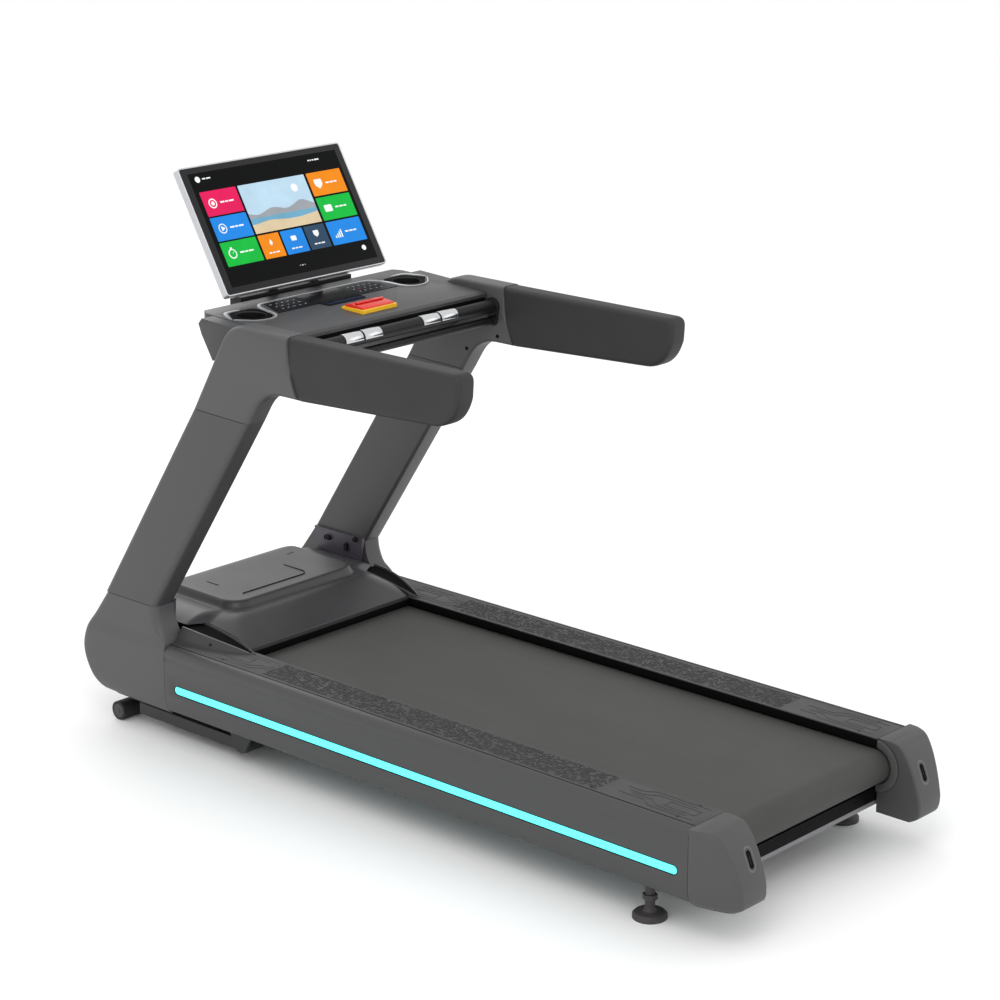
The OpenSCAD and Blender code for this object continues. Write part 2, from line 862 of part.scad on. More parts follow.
// Side profile of a front boot as [y, z] points, set in by d
function boot_profile(d) = [
    [seam_front_y + d, rail_h + 30], [seam_front_y + 38 + d, joint_low_z - 16 + d * 6],
    [mast_y0 - upright_d + d, joint_low_z + d * 6], [mast_y0 - d, joint_low_z + d * 6],
    [y_front - 20 - d * 1.4, rail_h - 10], [y_front - d, rail_h - 65], [y_front - 6 - d, rail_h - 105],
    [y_front - 31 - d, cover_z0 + 32], [y_front - 62, cover_z0 + 5 + d], [y_front - 101, cover_z0 - 4 + d],
    [seam_front_y + d, cover_z0 + d]
];

boot_in = upright_x0 + 1;

module boot(s) {
    color("#666666")
        on_side(s)
            difference() {
                intersection() {
                    prism_x(boot_profile(0), boot_in, half_w);
                    prism_y([[0, 0], [half_w - 22, 0], [half_w - 19, cover_z0 - 4], [half_w - 6, 108], [half_w, 132],
                             [half_w, rail_h - 22], [upright_x1, rail_h + 20], [upright_x1, joint_low_z + 1],
                             [0, joint_low_z + 1]], seam_front_y - 1, y_front + 1);
                }
                prism_x(boot_profile(cover_wall), boot_in - 1, upright_x1 - cover_wall);
                box([0, seam_front_y - 1, tube_z0 - gap], [tube_out + gap, seam_front_y + 10, tube_z1 + gap]);
            }
}

// ---- Mast ----

function mast_y(z) = mast_y0 - (z - joint_low_z) * tan(lean);

module upright(s) {
    chamfer = 10;
    lead = mast_y(joint_top_z);
    color("#555555")
        on_side(s)
            intersection() {
                prism_x([[mast_y0 - upright_d, joint_low_z], [mast_y0, joint_low_z],
                         [lead, joint_top_z], [lead - upright_d, joint_top_z - 6]], upright_x0, upright_x1);
                multi_chamfer(chamfer);
            }
}

// Chamfers the outer long edges of an upright along its lean
module multi_chamfer(c) {
    slant = tan(lean);
    multmatrix([[1, 0, 0, 0], [0, 1, -slant, mast_y0 + joint_low_z * slant], [0, 0, 1, 0], [0, 0, 0, 1]])
        prism_z([[upright_x0, -upright_d - 1], [upright_x1 - c, -upright_d - 1], [upright_x1, -upright_d + 1.6 * c],
                 [upright_x1, -c], [upright_x1 - c, 0.5], [upright_x0, 0.5]], joint_low_z - 10, joint_top_z + 10);
}

module upright_brackets() {
    color("#5a555e")
        for (s = [LEFT, RIGHT])
            on_side(s)
                upright_bracket();
}

// Steel foot of an upright: bolted cheek plate and two webs inside the boot
module upright_bracket() {
    x1 = upright_x0 - 0.5;
    top = joint_low_z + 8;
    difference() {
        prism_x([[mast_y(top) - upright_d + 6, top], [mast_y(top) - 4, top], [mast_y0 - 25, rail_h + 10],
                 [tube_y1 - 6, tube_z1 + 1], [mast_y0 - upright_d + 10, tube_z1 + 1], [mast_y0 - upright_d + 10, rail_h + 10]],
                x1 - bracket_t, x1);
        for (p = bolt_places())
            bar_x(p[2] + 0.3, x1 - bracket_t - 1, x1 + 1, p[0], p[1]);
    }
    for (y = [mast_y0 - 150, mast_y0 - 46])
        box([x1 - eps, y, tube_z1 + 0.2], [upright_x1 - cover_wall - 2, y + 8, joint_low_z]);
}

// Bolts of one bracket as [y, z, shank radius]
function bolt_places() = [
    [mast_y0 - 135, rail_h + 72, 6], [mast_y0 - 60, rail_h + 80, 6], [mast_y0 - 170, rail_h + 96, 3]
];

module bracket_bolts() {
    color("#232325")
        for (s = [LEFT, RIGHT])
            on_side(s)
                for (p = bolt_places()) {
                    bar_x(p[2] * 1.5, upright_x0 - bracket_t - 5.5, upright_x0 - bracket_t - 0.5, p[0], p[1]);
                    bar_x(p[2], upright_x0 - bracket_t - 0.5, upright_x0 - 0.5, p[0], p[1]);
                }
}

// Elbow outline of a corner cap as [y, z] points from the upright's front edge
function cap_outline() = [for (p = [
    [0, 0], [-77, 132], [-92, 154], [-117, 178], [-140, 197], [-164, 212], [-199, 226], [-225, 228],
    [-336, 228], [-342, 140], [-360, 100], [-368, 80], [-330, 79], [-300, 73], [-265, 58], [-238, 38],
    [-215, 12], [-196, -6]]) [mast_y1 + p[0], joint_top_z + p[1]]];

module corner_cap(s) {
    color("#646464")
        on_side(s)
            difference() {
                intersection() {
                    prism_x(cap_outline(), upright_x0, upright_x1);
                    prism_y([[upright_x0, 0], [upright_x1, 0], [upright_x1, joint_top_z + 205],
                             [upright_x1 - 12, joint_top_z + 222], [upright_x1 - 24, joint_top_z + 229],
                             [upright_x0 + 8, joint_top_z + 229], [upright_x0, joint_top_z + 224]],
                            mast_y1 - 400, mast_y1 + 10);
                }
                for (p = [[-105, 40], [-215, 42], [-306, 92]])
                    bar_x(4, upright_x0 - 1, upright_x0 + 8, mast_y1 + p[0], joint_top_z + p[1]);
            }
}

// Side outline of an armrest as [y, z] points
function armrest_outline() = let (end = arm_seam_y - arm_rest_l, top = arm_top_z) [
    [arm_seam_y - 1, top], [end + 46, top - 2], [end + 20, top - 10], [end + 5, top - 27], [end, top - 50],
    [end + 6, top - 74], [end + 22, top - 98], [end + 48, top - 116], [end + 95, top - 130],
    [arm_seam_y - 33, top - 150], [arm_seam_y - 25, top - 128], [arm_seam_y - 7, top - 88]
];

module armrest(s) {
    color("#474747")
        on_side(s)
            intersection() {
                prism_x(armrest_outline(), arm_x_in, arm_x_out);
                prism_y([[arm_x_in + 8, arm_top_z - 160], [arm_x_out - 12, arm_top_z - 160],
                         [arm_x_out, arm_top_z - 140], [arm_x_out, arm_top_z - 22], [arm_x_out - 12, arm_top_z - 4],
                         [arm_x_out - 22, arm_top_z + 1], [arm_x_in + 14, arm_top_z + 1],
                         [arm_x_in, arm_top_z - 14], [arm_x_in, arm_top_z - 140]],
                        arm_seam_y - arm_rest_l - 5, arm_seam_y);
            }
}

// ---- Console ----

tube_console_y = mast_y1 - 160;
tube_console_z = joint_top_z + 145;
tube_console_r = 24;

module console_tube() {
    color("#3a3a3c")
        difference() {
            bar_x(tube_console_r, -upright_x0 + 0.2, upright_x0 - 0.2, tube_console_y, tube_console_z);
            bar_x(tube_console_r - tube_wall, -upright_x0, upright_x0, tube_console_y, tube_console_z);
        }
}

module pulse_bar() {
    color("#3d3d3f") {
        bar_x(17, -upright_x0 + 6, upright_x0 - 6, bar_y, bar_z);
        bar_x(10, -upright_x0 + 6, upright_x0 - 6, bar_y - 2, bar_z - 36);
        for (s = [LEFT, RIGHT])
            on_side(s)
                hull() {
                    bar_x(22, upright_x0 - 6, upright_x0 - 0.2, bar_y, bar_z);
                    bar_x(14, upright_x0 - 6, upright_x0 - 0.2, bar_y - 2, bar_z - 36);
                }
    }
}

pad_l = 58;
pad_xs = [80, 165];

module pulse_pads() {
    color("#c9cacc")
        for (s = [-1, 1], x = [pad_xs[0] + pad_l / 2 - 8, pad_xs[1]])
            difference() {
                bar_x(18.5, s * x - pad_l / 2, s * x + pad_l / 2, bar_y, bar_z);
                bar_x(17.05, s * x - pad_l / 2 - 1, s * x + pad_l / 2 + 1, bar_y, bar_z);
                box([s * x - pad_l / 2 - 1, bar_y - 30, bar_z - 30], [s * x + pad_l / 2 + 1, bar_y + 30, bar_z - 2]);
            }
}

// Height of the console's top surface at a place y
function top_z(y) = console_h - (console_y1 - y) * tan(console_slope);

// Side profile of the console's main shell, set in by d
function console_profile(d) = [
    [console_y0 + d, top_z(console_y0) - 5 - d], [console_y0 + 8, top_z(console_y0 + 8) - d],
    [console_y1 - 14, top_z(console_y1 - 14) - d], [console_y1 - d, console_h - 14],
    [console_y1 - 10 - d, console_h - 50], [mast_y1 - 50, joint_top_z + 92 + d],
    [mast_y1 - 150, joint_top_z + 92 + d], [console_y0 + 20 + d, joint_top_z + 172 + d],
    [console_y0 + d, joint_top_z + 178 + d]
];

// Plan of the console: narrow between the corner caps, rounded in front
function console_plan(d) = [
    for (s = [1, -1]) each [for (i = (s > 0 ? [0, 1, 2, 3, 4] : [4, 3, 2, 1, 0]))
        [s * [console_half - d, console_half - d, console_half - 2 - d, console_half - 16 - d, console_half - 60][i],
         [console_y0 - 1, mast_y1 - 10, mast_y1 + 14, mast_y1 + 36 - d, console_y1 + 1 - d][i]]]
];

module console_solid(d) {
    intersection() {
        prism_x(console_profile(d), -half_w, half_w);
        prism_z(console_plan(d), joint_top_z, console_h + 1);
    }
}

module console_body() {
    color("#5b5b5b")
        difference() {
            union() {
                difference() {
                    console_solid(0);
                    console_solid(cover_wall);
                }
                for (s = [LEFT, RIGHT])
                    on_side(s)
                        console_nose();
            }
            for (s = [-1, 1])
                cup_hole(s * cup_x, 0.2);
            stop_well();
            bar_x(tube_console_r + 0.3, -upright_x0, upright_x0, tube_console_y, tube_console_z);
        }
}

// Solid nose that carries the console's side round in front of a corner cap
module console_nose() {
    prism_x([for (p = [[-72, 133], [-49, 120], [-12, 180], [-2, 205], [-14, 219], [-130, 213], [-112, 178], [-89, 156]])
                [mast_y1 + p[0], joint_top_z + p[1]]], console_half - 1, nose_half);
}

module cup_hole(x, d) {
    z = top_z(cup_y) + 6;
    bar_z(cup_r + d, z - cup_depth - 12, z, x, cup_y);
}

module cup_liners() {
    color("#161616")
        for (s = [-1, 1])
            difference() {
                bar_z(cup_r, top_z(cup_y) - cup_depth, top_z(cup_y) - 2.2, s * cup_x, cup_y);
                bar_z(cup_r - 2.5, top_z(cup_y) - cup_depth + 2.5, console_h + 1, s * cup_x, cup_y);
            }
}

// Frame in the plane of the console's top, for pieces that lie on it
module on_console() {
    translate([0, console_y1, console_h + 2 * eps])
        rotate([console_slope, 0, 0])
            children();
}

module console_trim() {
    color("#d2d4d6")
        on_console()
            linear_extrude(1.6)
                for (s = [-1, 1])
                    translate([s * cup_x, cup_y - console_y1])
                        difference() {
                            circle(cup_r + 7);
                            circle(cup_r + 3.5);
                        }
}

module key_panel() {
    color("#1a1c20")
        on_console()
            linear_extrude(1.2)
                polygon([[-205, -150], [-175, -65], [175, -65], [205, -150], [70, -150], [62, -182],
                         [-62, -182], [-70, -150]]);
}

stop_y = mast_y1 - 205;
stop_w = 118;
stop_d = 74;

// Pocket in the console for the stop button's housing
module stop_well() {
    box([-stop_w / 2 - 0.3, stop_y - stop_d / 2 - 0.3, top_z(stop_y) - 22],
        [stop_w / 2 + 0.3, stop_y + stop_d / 2 + 0.3, console_h + 1]);
}

stop_top = top_z(stop_y) + 8;

module stop_housing() {
    color("#f2c21a")
        difference() {
            box([-stop_w / 2, stop_y - stop_d / 2, top_z(stop_y) - 21], [stop_w / 2, stop_y + stop_d / 2, stop_top]);
            box([-stop_w / 2 + 5, stop_y - stop_d / 2 + 5, stop_top - 20], [stop_w / 2 - 5, stop_y + stop_d / 2 - 5, stop_top + 1]);
        }
}

module stop_button() {
    half_x = stop_w / 2 - 5 - gap;
    half_y = stop_d / 2 - 5 - gap;
    color("#e0281c")
        prism_x([[stop_y - half_y, stop_top - 12], [stop_y - half_y, stop_top + 2], [stop_y - half_y + 5, stop_top + 5],
                 [stop_y + 3, stop_top + 7], [stop_y + 9, stop_top + 10], [stop_y + 15, stop_top + 7],
                 [stop_y + half_y - 4, stop_top + 6], [stop_y + half_y, stop_top + 2], [stop_y + half_y, stop_top - 12]],
                -half_x, half_x);
}

// ---- Screen ----

mount_half = 190;
ear_x = 70;
ear_w = 14;

module screen_mount() {
    y0 = console_y1 + 0.3;
    top = hinge_z - 16;
    color("#19191a")
        difference() {
            union() {
                box([-mount_half, y0, top - 26], [mount_half, hinge_y + 26, top]);
                for (s = [-1, 1])
                    hull() {
                        bar_x(10, s * ear_x - ear_w / 2, s * ear_x + ear_w / 2, hinge_y, hinge_z);
                        box([s * ear_x - ear_w / 2, hinge_y - 12, top - 2], [s * ear_x + ear_w / 2, hinge_y + 12, top - 1]);
                    }
            }
            for (s = [-1, 1])
                bar_x(hinge_r + run_fit, s * ear_x - ear_w, s * ear_x + ear_w, hinge_y, hinge_z);
        }
}

module screen_housing() {
    color("#c9cacc")
        difference() {
            union() {
                on_screen()
                    translate([0, 0, -screen_t])
                        linear_extrude(screen_t)
                            round_plate(-screen_w / 2, screen_w / 2, 0, screen_h, 8);
                on_screen()
                    box([-190, 44, -screen_t - 26], [190, screen_h - 60, -screen_t + eps]);
                for (s = [-1, 1])
                    screen_knuckle(s * (ear_x + ear_w + 2));
                bar_x(hinge_r, -ear_x - ear_w, ear_x + ear_w, hinge_y, hinge_z);
            }
            on_screen() {
                translate([0, 0, -3])
                    linear_extrude(4)
                        round_plate(-screen_w / 2 + 4, screen_w / 2 - 4, 4, screen_h - 4, 6);
                box([-screen_w / 2 + 12, 12, 3 - screen_t], [screen_w / 2 - 12, screen_h - 12, 0]);
            }
        }
}

// Knuckle beside a mount ear, joined to the back of the housing
module screen_knuckle(x) {
    hull() {
        bar_x(11, x - 8, x + 8, hinge_y, hinge_z);
        on_screen()
            box([x - 8, 46, -screen_t - 8], [x + 8, 74, -screen_t]);
    }
}

module screen_glass() {
    color("#101114")
        on_screen()
            translate([0, 0, -3 + 0.02])
                linear_extrude(3 - 0.02)
                    round_plate(-screen_w / 2 + 4.2, screen_w / 2 - 4.2, 4.2, screen_h - 4.2, 6);
}

// ---- Power ----

module power_inlet() {
    color("#151515")
        difference() {
            box([inlet_x - 34.5, inlet_y - 30, inlet_z - 13.5], [inlet_x + 34.5, inlet_y + 3, inlet_z + 13.5]);
            box([inlet_x - 30, inlet_y - 18, inlet_z - 9], [inlet_x - 4, inlet_y + 4, inlet_z + 9]);
            box([inlet_x + 6, inlet_y - 12, inlet_z - 10], [inlet_x + 28, inlet_y + 4, inlet_z + 10]);
        }
}

// Rocker switch that tips about a level axis, drawn pressed in at its top
rocker_tip = 10;

module power_rocker() {
    color("#b01818")
        translate([0, inlet_y - 4, inlet_z])
            rotate([-rocker_tip, 0, 0])
                prism_x([[-4, -3], [4, -8.6], [5, 0], [4, 8.6], [-4, 3]], inlet_x + 6.5, inlet_x + 27.5);
}

// ---- One line for each node ----

frame_rails();
rail_outriggers();
rail_brackets();
frame_crossmembers();
rear_crossbar();
rear_lower_bar();
motor_mount();
running_deck();
deck_cushions();
running_belt();
front_roller();
rear_roller();
roller_axles();
tension_bolts();
drive_motor();
motor_pulley();
drive_belt();
controller_box();
lift_arm();
lift_motor();
lift_screw();
wheel(LEFT);  // wheel_left
wheel(RIGHT);  // wheel_right
foot(LEFT);  // foot_left
foot(RIGHT);  // foot_right
side_panel(LEFT);  // side_panel_left
side_panel(RIGHT);  // side_panel_right
led_strips();
foot_rail(LEFT);  // foot_rail_left
foot_rail(RIGHT);  // foot_rail_right
rail_screws();
rear_cap(LEFT);  // rear_cap_left
rear_cap(RIGHT);  // rear_cap_right
roller_guards();
motor_hood();
hood_horns();
boot(LEFT);  // boot_left
boot(RIGHT);  // boot_right
upright(LEFT);  // upright_left
upright(RIGHT);  // upright_right
upright_brackets();
bracket_bolts();
corner_cap(LEFT);  // corner_cap_left
corner_cap(RIGHT);  // corner_cap_right
armrest(LEFT);  // armrest_left
armrest(RIGHT);  // armrest_right
console_tube();
pulse_bar();
pulse_pads();
console_body();
cup_liners();
console_trim();
key_panel();
stop_housing();
stop_button();
screen_mount();
screen_housing();
screen_glass();
power_inlet();
power_rocker();
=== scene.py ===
"""Looks of a commercial treadmill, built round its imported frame.

Metres, +Z up, +Y from the open rear end towards the console, +X the runner's right.
Sizes in the code are in millimetres and become metres through MM.
"""

import math

import bmesh
import bpy
from mathutils import Matrix, Vector


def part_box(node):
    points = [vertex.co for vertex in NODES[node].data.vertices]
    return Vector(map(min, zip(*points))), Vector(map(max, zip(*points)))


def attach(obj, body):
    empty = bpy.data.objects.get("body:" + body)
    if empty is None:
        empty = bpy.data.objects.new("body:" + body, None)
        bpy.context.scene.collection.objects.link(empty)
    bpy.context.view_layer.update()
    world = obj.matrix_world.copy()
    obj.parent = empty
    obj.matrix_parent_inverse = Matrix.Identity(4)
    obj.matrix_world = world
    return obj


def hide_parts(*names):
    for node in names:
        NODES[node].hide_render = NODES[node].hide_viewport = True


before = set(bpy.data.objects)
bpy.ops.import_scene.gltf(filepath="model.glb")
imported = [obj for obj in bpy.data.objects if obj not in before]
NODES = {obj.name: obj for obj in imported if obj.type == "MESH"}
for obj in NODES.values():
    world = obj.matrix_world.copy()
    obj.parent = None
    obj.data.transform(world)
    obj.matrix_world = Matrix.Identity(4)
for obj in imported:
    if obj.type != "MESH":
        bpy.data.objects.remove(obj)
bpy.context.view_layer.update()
MM = 0.001
LEFT = -1
RIGHT = 1
SIDES = {LEFT: "left", RIGHT: "right"}
SEAM = 0.9 * MM

# Sizes that the finishes share, in millimetres, and how far gloss varies over a surface.
CLOUD_MM = 140
# Width of the band along sharp edges that is lightened, partly as wear and partly as a painted highlight.
LIT_AND_WORN_EDGE_MM = 1.6
GLOSS_SPREAD = 0.06
# Bands that a wave texture draws in a metre at scale 1.
WAVE_BANDS = 3.18


# ---- Shader and node helpers ----

def colour(code):
    """Linear RGBA from an sRGB hex code."""
    parts = [int(code[i:i + 2], 16) / 255 for i in (1, 3, 5)]
    linear = [c / 12.92 if c <= 0.04045 else ((c + 0.055) / 1.055) ** 2.4 for c in parts]
    return (*linear, 1.0)


def add(tree, kind, settings=None, links=None):
    """Adds a node, sets its properties and its input values, and links outputs into its inputs."""
    made = tree.nodes.new(kind)
    for key, value in (settings or {}).items():
        if isinstance(key, str) and hasattr(made, key):
            setattr(made, key, value)
    for key, value in (settings or {}).items():
        if not (isinstance(key, str) and hasattr(made, key)):
            made.inputs[key].default_value = value
    for key, source in (links or {}).items():
        tree.links.new(source, made.inputs[key])
    return made


def material(name, base, **sockets):
    """New material: its Principled shader with plain values on its own sockets."""
    made = bpy.data.materials.new(name)
    made.use_nodes = True
    tree = made.node_tree
    tree.nodes.clear()
    values = {key.replace("_", " "): value for key, value in sockets.items()}
    shader = add(tree, "ShaderNodeBsdfPrincipled", {"Base Color": colour(base), **values})
    add(tree, "ShaderNodeOutputMaterial", {}, {"Surface": shader.outputs["BSDF"]})
    return made, tree, shader


def surface_patterns(tree, grain_mm, stretch=(1, 1, 1)):
    """A cloudy noise over the whole piece and a fine grain, stretched where the finish has a direction."""
    where = add(tree, "ShaderNodeTexCoord").outputs["Object"]
    drawn = add(tree, "ShaderNodeMapping", {"Scale": stretch}, {"Vector": where}).outputs["Vector"]
    cloud = add(tree, "ShaderNodeTexNoise", {"Scale": 1 / (CLOUD_MM * MM), "Detail": 4.0}, {"Vector": where})
    grain = add(tree, "ShaderNodeTexNoise", {"Scale": 1 / (grain_mm * MM), "Detail": 2.0}, {"Vector": drawn})
    return where, cloud.outputs["Fac"], grain.outputs["Fac"]


def edge_highlight_and_wear_mask(tree, strength):
    """Value that rises along sharp edges: a painted highlight where edges catch the light, and wear where
    handling rubs a finish.
    """
    soft = add(tree, "ShaderNodeBevel", {"samples": 4, "Radius": LIT_AND_WORN_EDGE_MM * MM}).outputs["Normal"]
    true = add(tree, "ShaderNodeNewGeometry").outputs["Normal"]
    match = add(tree, "ShaderNodeVectorMath", {"operation": "DOT_PRODUCT"}, {0: soft, 1: true})
    lit_and_worn_edge = add(tree, "ShaderNodeMapRange",
               {"From Min": 0.99, "From Max": 0.82, "To Min": 0.0, "To Max": strength},
               {"Value": match.outputs["Value"]})
    return lit_and_worn_edge.outputs["Result"]


def dress(tree, shader, base, tone, gloss, height, relief_mm, strength=1.0):
    """Gives a shader its base colour times a tone, its roughness and its relief."""
    tinted = add(tree, "ShaderNodeVectorMath", {"operation": "SCALE", 0: colour(base)[:3]}, {"Scale": tone})
    bump = add(tree, "ShaderNodeBump", {"Strength": strength, "Distance": relief_mm * MM}, {"Height": height})
    tree.links.new(tinted.outputs["Vector"], shader.inputs["Base Color"])
    tree.links.new(gloss, shader.inputs["Roughness"])
    tree.links.new(bump.outputs["Normal"], shader.inputs["Normal"])


def skin(name, base, roughness, grain_mm, relief_mm, shade=0.07, edge_highlight_and_wear=0.10, stretch=(1, 1, 1), **sockets):
    """Moulded, painted or rolled skin: uneven tone and gloss, fine relief, and edges lightened partly by wear
    and partly by a painted highlight.
    """
    made, tree, shader = material(name, base, Roughness=roughness, **sockets)
    _, cloud, grain = surface_patterns(tree, grain_mm, stretch)
    both = add(tree, "ShaderNodeMath", {"operation": "ADD"}, {0: cloud, 1: grain}).outputs[0]
    middle = {"From Min": 0.6, "From Max": 1.4}
    tone = add(tree, "ShaderNodeMapRange", {**middle, "To Min": 1 - shade, "To Max": 1 + shade},
               {"Value": both})
    tone = tone.outputs["Result"]
    # Edges lighten: partly wear, partly a painted highlight.
    if edge_highlight_and_wear:
        lit_and_worn = edge_highlight_and_wear_mask(tree, edge_highlight_and_wear)
        tone = add(tree, "ShaderNodeMath", {"operation": "ADD"}, {0: tone, 1: lit_and_worn}).outputs[0]
    gloss = add(tree, "ShaderNodeMapRange", {
        **middle, "To Min": roughness - GLOSS_SPREAD, "To Max": roughness + GLOSS_SPREAD}, {"Value": both})
    dress(tree, shader, base, tone, gloss.outputs["Result"], grain, relief_mm)
    return made


# ---- Materials ----

def panel_abs():
    """ABS, injection moulded in a spark-eroded tool: matt charcoal with a fine even grain."""
    return skin("panel_abs", "#3f3f40", 0.52, 1.3, 0.05)


def boot_abs():
    """ABS of the boots and corner caps, a shade lighter than the side panels."""
    return skin("boot_abs", "#4a4a4b", 0.5, 1.3, 0.05)


def cap_abs():
    """ABS of the rear caps: the same tool finish, with a slightly coarser grain."""
    return skin("cap_abs", "#434344", 0.5, 1.5, 0.06)


def rim_highlight_abs():
    """Paler, glossier ABS on the crests of raised rims: its pale colour is a painted highlight where the
    crests catch the light.
    """
    return skin("rim_highlight_abs", "#5e5e60", 0.36, 1.2, 0.02, shade=0.08)


def hood_abs():
    """ABS with a satin tool finish, so it carries soft reflections."""
    return skin("hood_abs", "#333335", 0.4, 1.0, 0.02, shade=0.05)


def console_abs():
    """ABS console shell, fine matt grain."""
    return skin("console_abs", "#3b3b3d", 0.46, 1.1, 0.04)


def rail_nylon():
    """Glass-filled nylon foot rail: matt, with a coarse moulded grain that grips."""
    return skin("rail_nylon", "#3a3a3a", 0.6, 1.8, 0.10, shade=0.10)


def black_abs():
    """Black ABS of the screen mount, the inlet and the liners."""
    return skin("black_abs", "#0d0d0e", 0.45, 1.2, 0.04, shade=0.12, Specular_IOR_Level=0.3)


def black_and_shade_abs():
    """Near-black ABS with almost no shine for grooves, slots and gaps, darkened past the plastic's own black
    as painted shade in those hollows.
    """
    return skin("groove_black_and_shade", "#060607", 0.8, 1.2, 0.05, shade=0.15, edge_highlight_and_wear=0, Specular_IOR_Level=0.08)


def upright_coat():
    """Aluminium extrusion under a satin powder coat: faint orange peel at about 3 mm."""
    return skin("upright_powder_coat", "#424243", 0.44, 3.0, 0.05, shade=0.05)


def frame_coat():
    """Mild steel under a black satin powder coat."""
    return skin("frame_powder_coat", "#242426", 0.5, 3.0, 0.08, shade=0.12)


def crossbar_coat():
    """Mild steel under a deep black matt powder coat."""
    return skin("crossbar_powder_coat", "#050506", 0.6, 3.0, 0.05, shade=0.15, edge_highlight_and_wear=0.02,
                Specular_IOR_Level=0.1)


def grey_bar_coat():
    """Mild steel under a grey powder coat."""
    return skin("grey_powder_coat", "#77777a", 0.45, 3.0, 0.06)


def bracket_coat():
    """Steel plate with a dark phosphate and clear lacquer, which turns it a little purple."""
    return skin("bracket_phosphate", "#544f59", 0.42, 2.2, 0.04, shade=0.14, Metallic=0.35)


def motor_coat():
    """Die-cast and pressed steel motor parts in grey stove enamel."""
    return skin("motor_enamel", "#3b3b3e", 0.4, 2.0, 0.05, shade=0.10)


def bare_steel():
    """Zinc-plated steel, turned: fine rings across the shaft."""
    return skin("zinc_plated_steel", "#a7a7aa", 0.3, 0.8, 0.01, shade=0.08, stretch=(1, 0.2, 0.2),
                Metallic=1.0)


def roller_steel():
    """Drawn and turned steel tube: rings round the roller about 1.5 mm apart."""
    return skin("turned_steel", "#8f8f92", 0.34, 1.5, 0.02, shade=0.10, stretch=(1, 0.05, 0.05),
                Metallic=1.0)


def pad_steel():
    """Stainless sheet, polished, with fine rub marks along the pad."""
    return skin("polished_stainless", "#cfd0d2", 0.2, 1.0, 0.004, shade=0.05, stretch=(0.1, 1, 1),
                Metallic=1.0)


def silver_lacquer():
    """ABS screen housing under silver lacquer: small metal flakes."""
    return skin("silver_lacquer", "#c4c6c9", 0.32, 0.6, 0.004, shade=0.05, Metallic=0.55, Coat_Weight=0.3)


def controller_casting():
    """Die-cast aluminium, bead blasted."""
    return skin("blasted_aluminium", "#b4b5b8", 0.45, 1.0, 0.05, Metallic=1.0)


def hub_nylon():
    """Grey nylon of the wheel hubs: matt."""
    return skin("hub_nylon", "#3c3c3e", 0.5, 1.2, 0.05, shade=0.10)


def rubber():
    """Moulded black rubber: dull, with a powdery bloom."""
    return skin("moulded_rubber", "#1b1b1c", 0.72, 1.4, 0.08, shade=0.18)


def foot_rubber():
    """Brown-black rubber over a zinc-plated stem: dusty."""
    return skin("foot_rubber", "#3a3737", 0.66, 1.6, 0.08, shade=0.14)


def screw_oxide():
    """Steel screws with black oxide: satin, oily sheen."""
    return skin("black_oxide_steel", "#1c1c1e", 0.36, 1.0, 0.02, shade=0.12, Metallic=0.6)


def foam_skin():
    """Integral-skin polyurethane foam: soft matt skin with a leather-like pebble about 2 mm across."""
    base = "#29292a"
    made, tree, shader = material("foam_skin", base, Roughness=0.6, Specular_IOR_Level=0.4)
    where, cloud, grain = surface_patterns(tree, 0.9)
    pebble = add(tree, "ShaderNodeTexVoronoi", {"Scale": 1 / (2.0 * MM), "feature": "SMOOTH_F1"},
                 {"Vector": where})
    height = add(tree, "ShaderNodeMath", {"operation": "MULTIPLY_ADD", 1: 0.25},
                 {0: grain, 2: pebble.outputs["Distance"]})
    tone = add(tree, "ShaderNodeMapRange", {
        "From Min": 0.3, "From Max": 0.7, "To Min": 0.92, "To Max": 1.08}, {"Value": cloud})
    gloss = add(tree, "ShaderNodeMapRange", {"To Min": 0.5, "To Max": 0.68}, {"Value": grain})
    dress(tree, shader, base, tone.outputs["Result"], gloss.outputs["Result"], height.outputs[0], 0.08, 0.7)
    return made


def belt_pvc():
    """PVC-faced woven belt: embossed with small diamonds 3 mm across, rubbed paler along the middle."""
    base = "#383836"
    made, tree, shader = material("belt_pvc", base, Roughness=0.62)
    where, cloud, grain = surface_patterns(tree, 1.2)
    turned = add(tree, "ShaderNodeMapping", {"Rotation": (0, 0, math.radians(45))}, {"Vector": where})
    diamonds = add(tree, "ShaderNodeTexVoronoi", {
        "Scale": 1 / (3.0 * MM), "distance": "CHEBYCHEV", "Randomness": 0.12},
        {"Vector": turned.outputs["Vector"]})
    height = add(tree, "ShaderNodeMath", {"operation": "MULTIPLY_ADD", 1: 0.4},
                 {0: grain, 2: diamonds.outputs["Distance"]})
    drawn = add(tree, "ShaderNodeMapping", {"Scale": (9, 0.6, 1)}, {"Vector": where})
    streak = add(tree, "ShaderNodeTexNoise", {"Scale": 2.0, "Detail": 3.0},
                 {"Vector": drawn.outputs["Vector"]})
    mixed = add(tree, "ShaderNodeMath", {"operation": "ADD"}, {0: streak.outputs["Fac"], 1: cloud})
    tone = add(tree, "ShaderNodeMapRange", {
        "From Min": 0.6, "From Max": 1.4, "To Min": 0.9, "To Max": 1.1}, {"Value": mixed.outputs[0]})
    gloss = add(tree, "ShaderNodeMapRange", {"To Min": 0.54, "To Max": 0.72}, {"Value": grain})
    dress(tree, shader, base, tone.outputs["Result"], gloss.outputs["Result"], height.outputs[0], 0.12, 0.8)
    return made


def deck_board():
    """Fibreboard with a waxed phenolic face: brown, with long faint fibres."""
    return skin("phenolic_board", "#4a3b2e", 0.4, 4.0, 0.02, shade=0.16, stretch=(1, 0.1, 1))


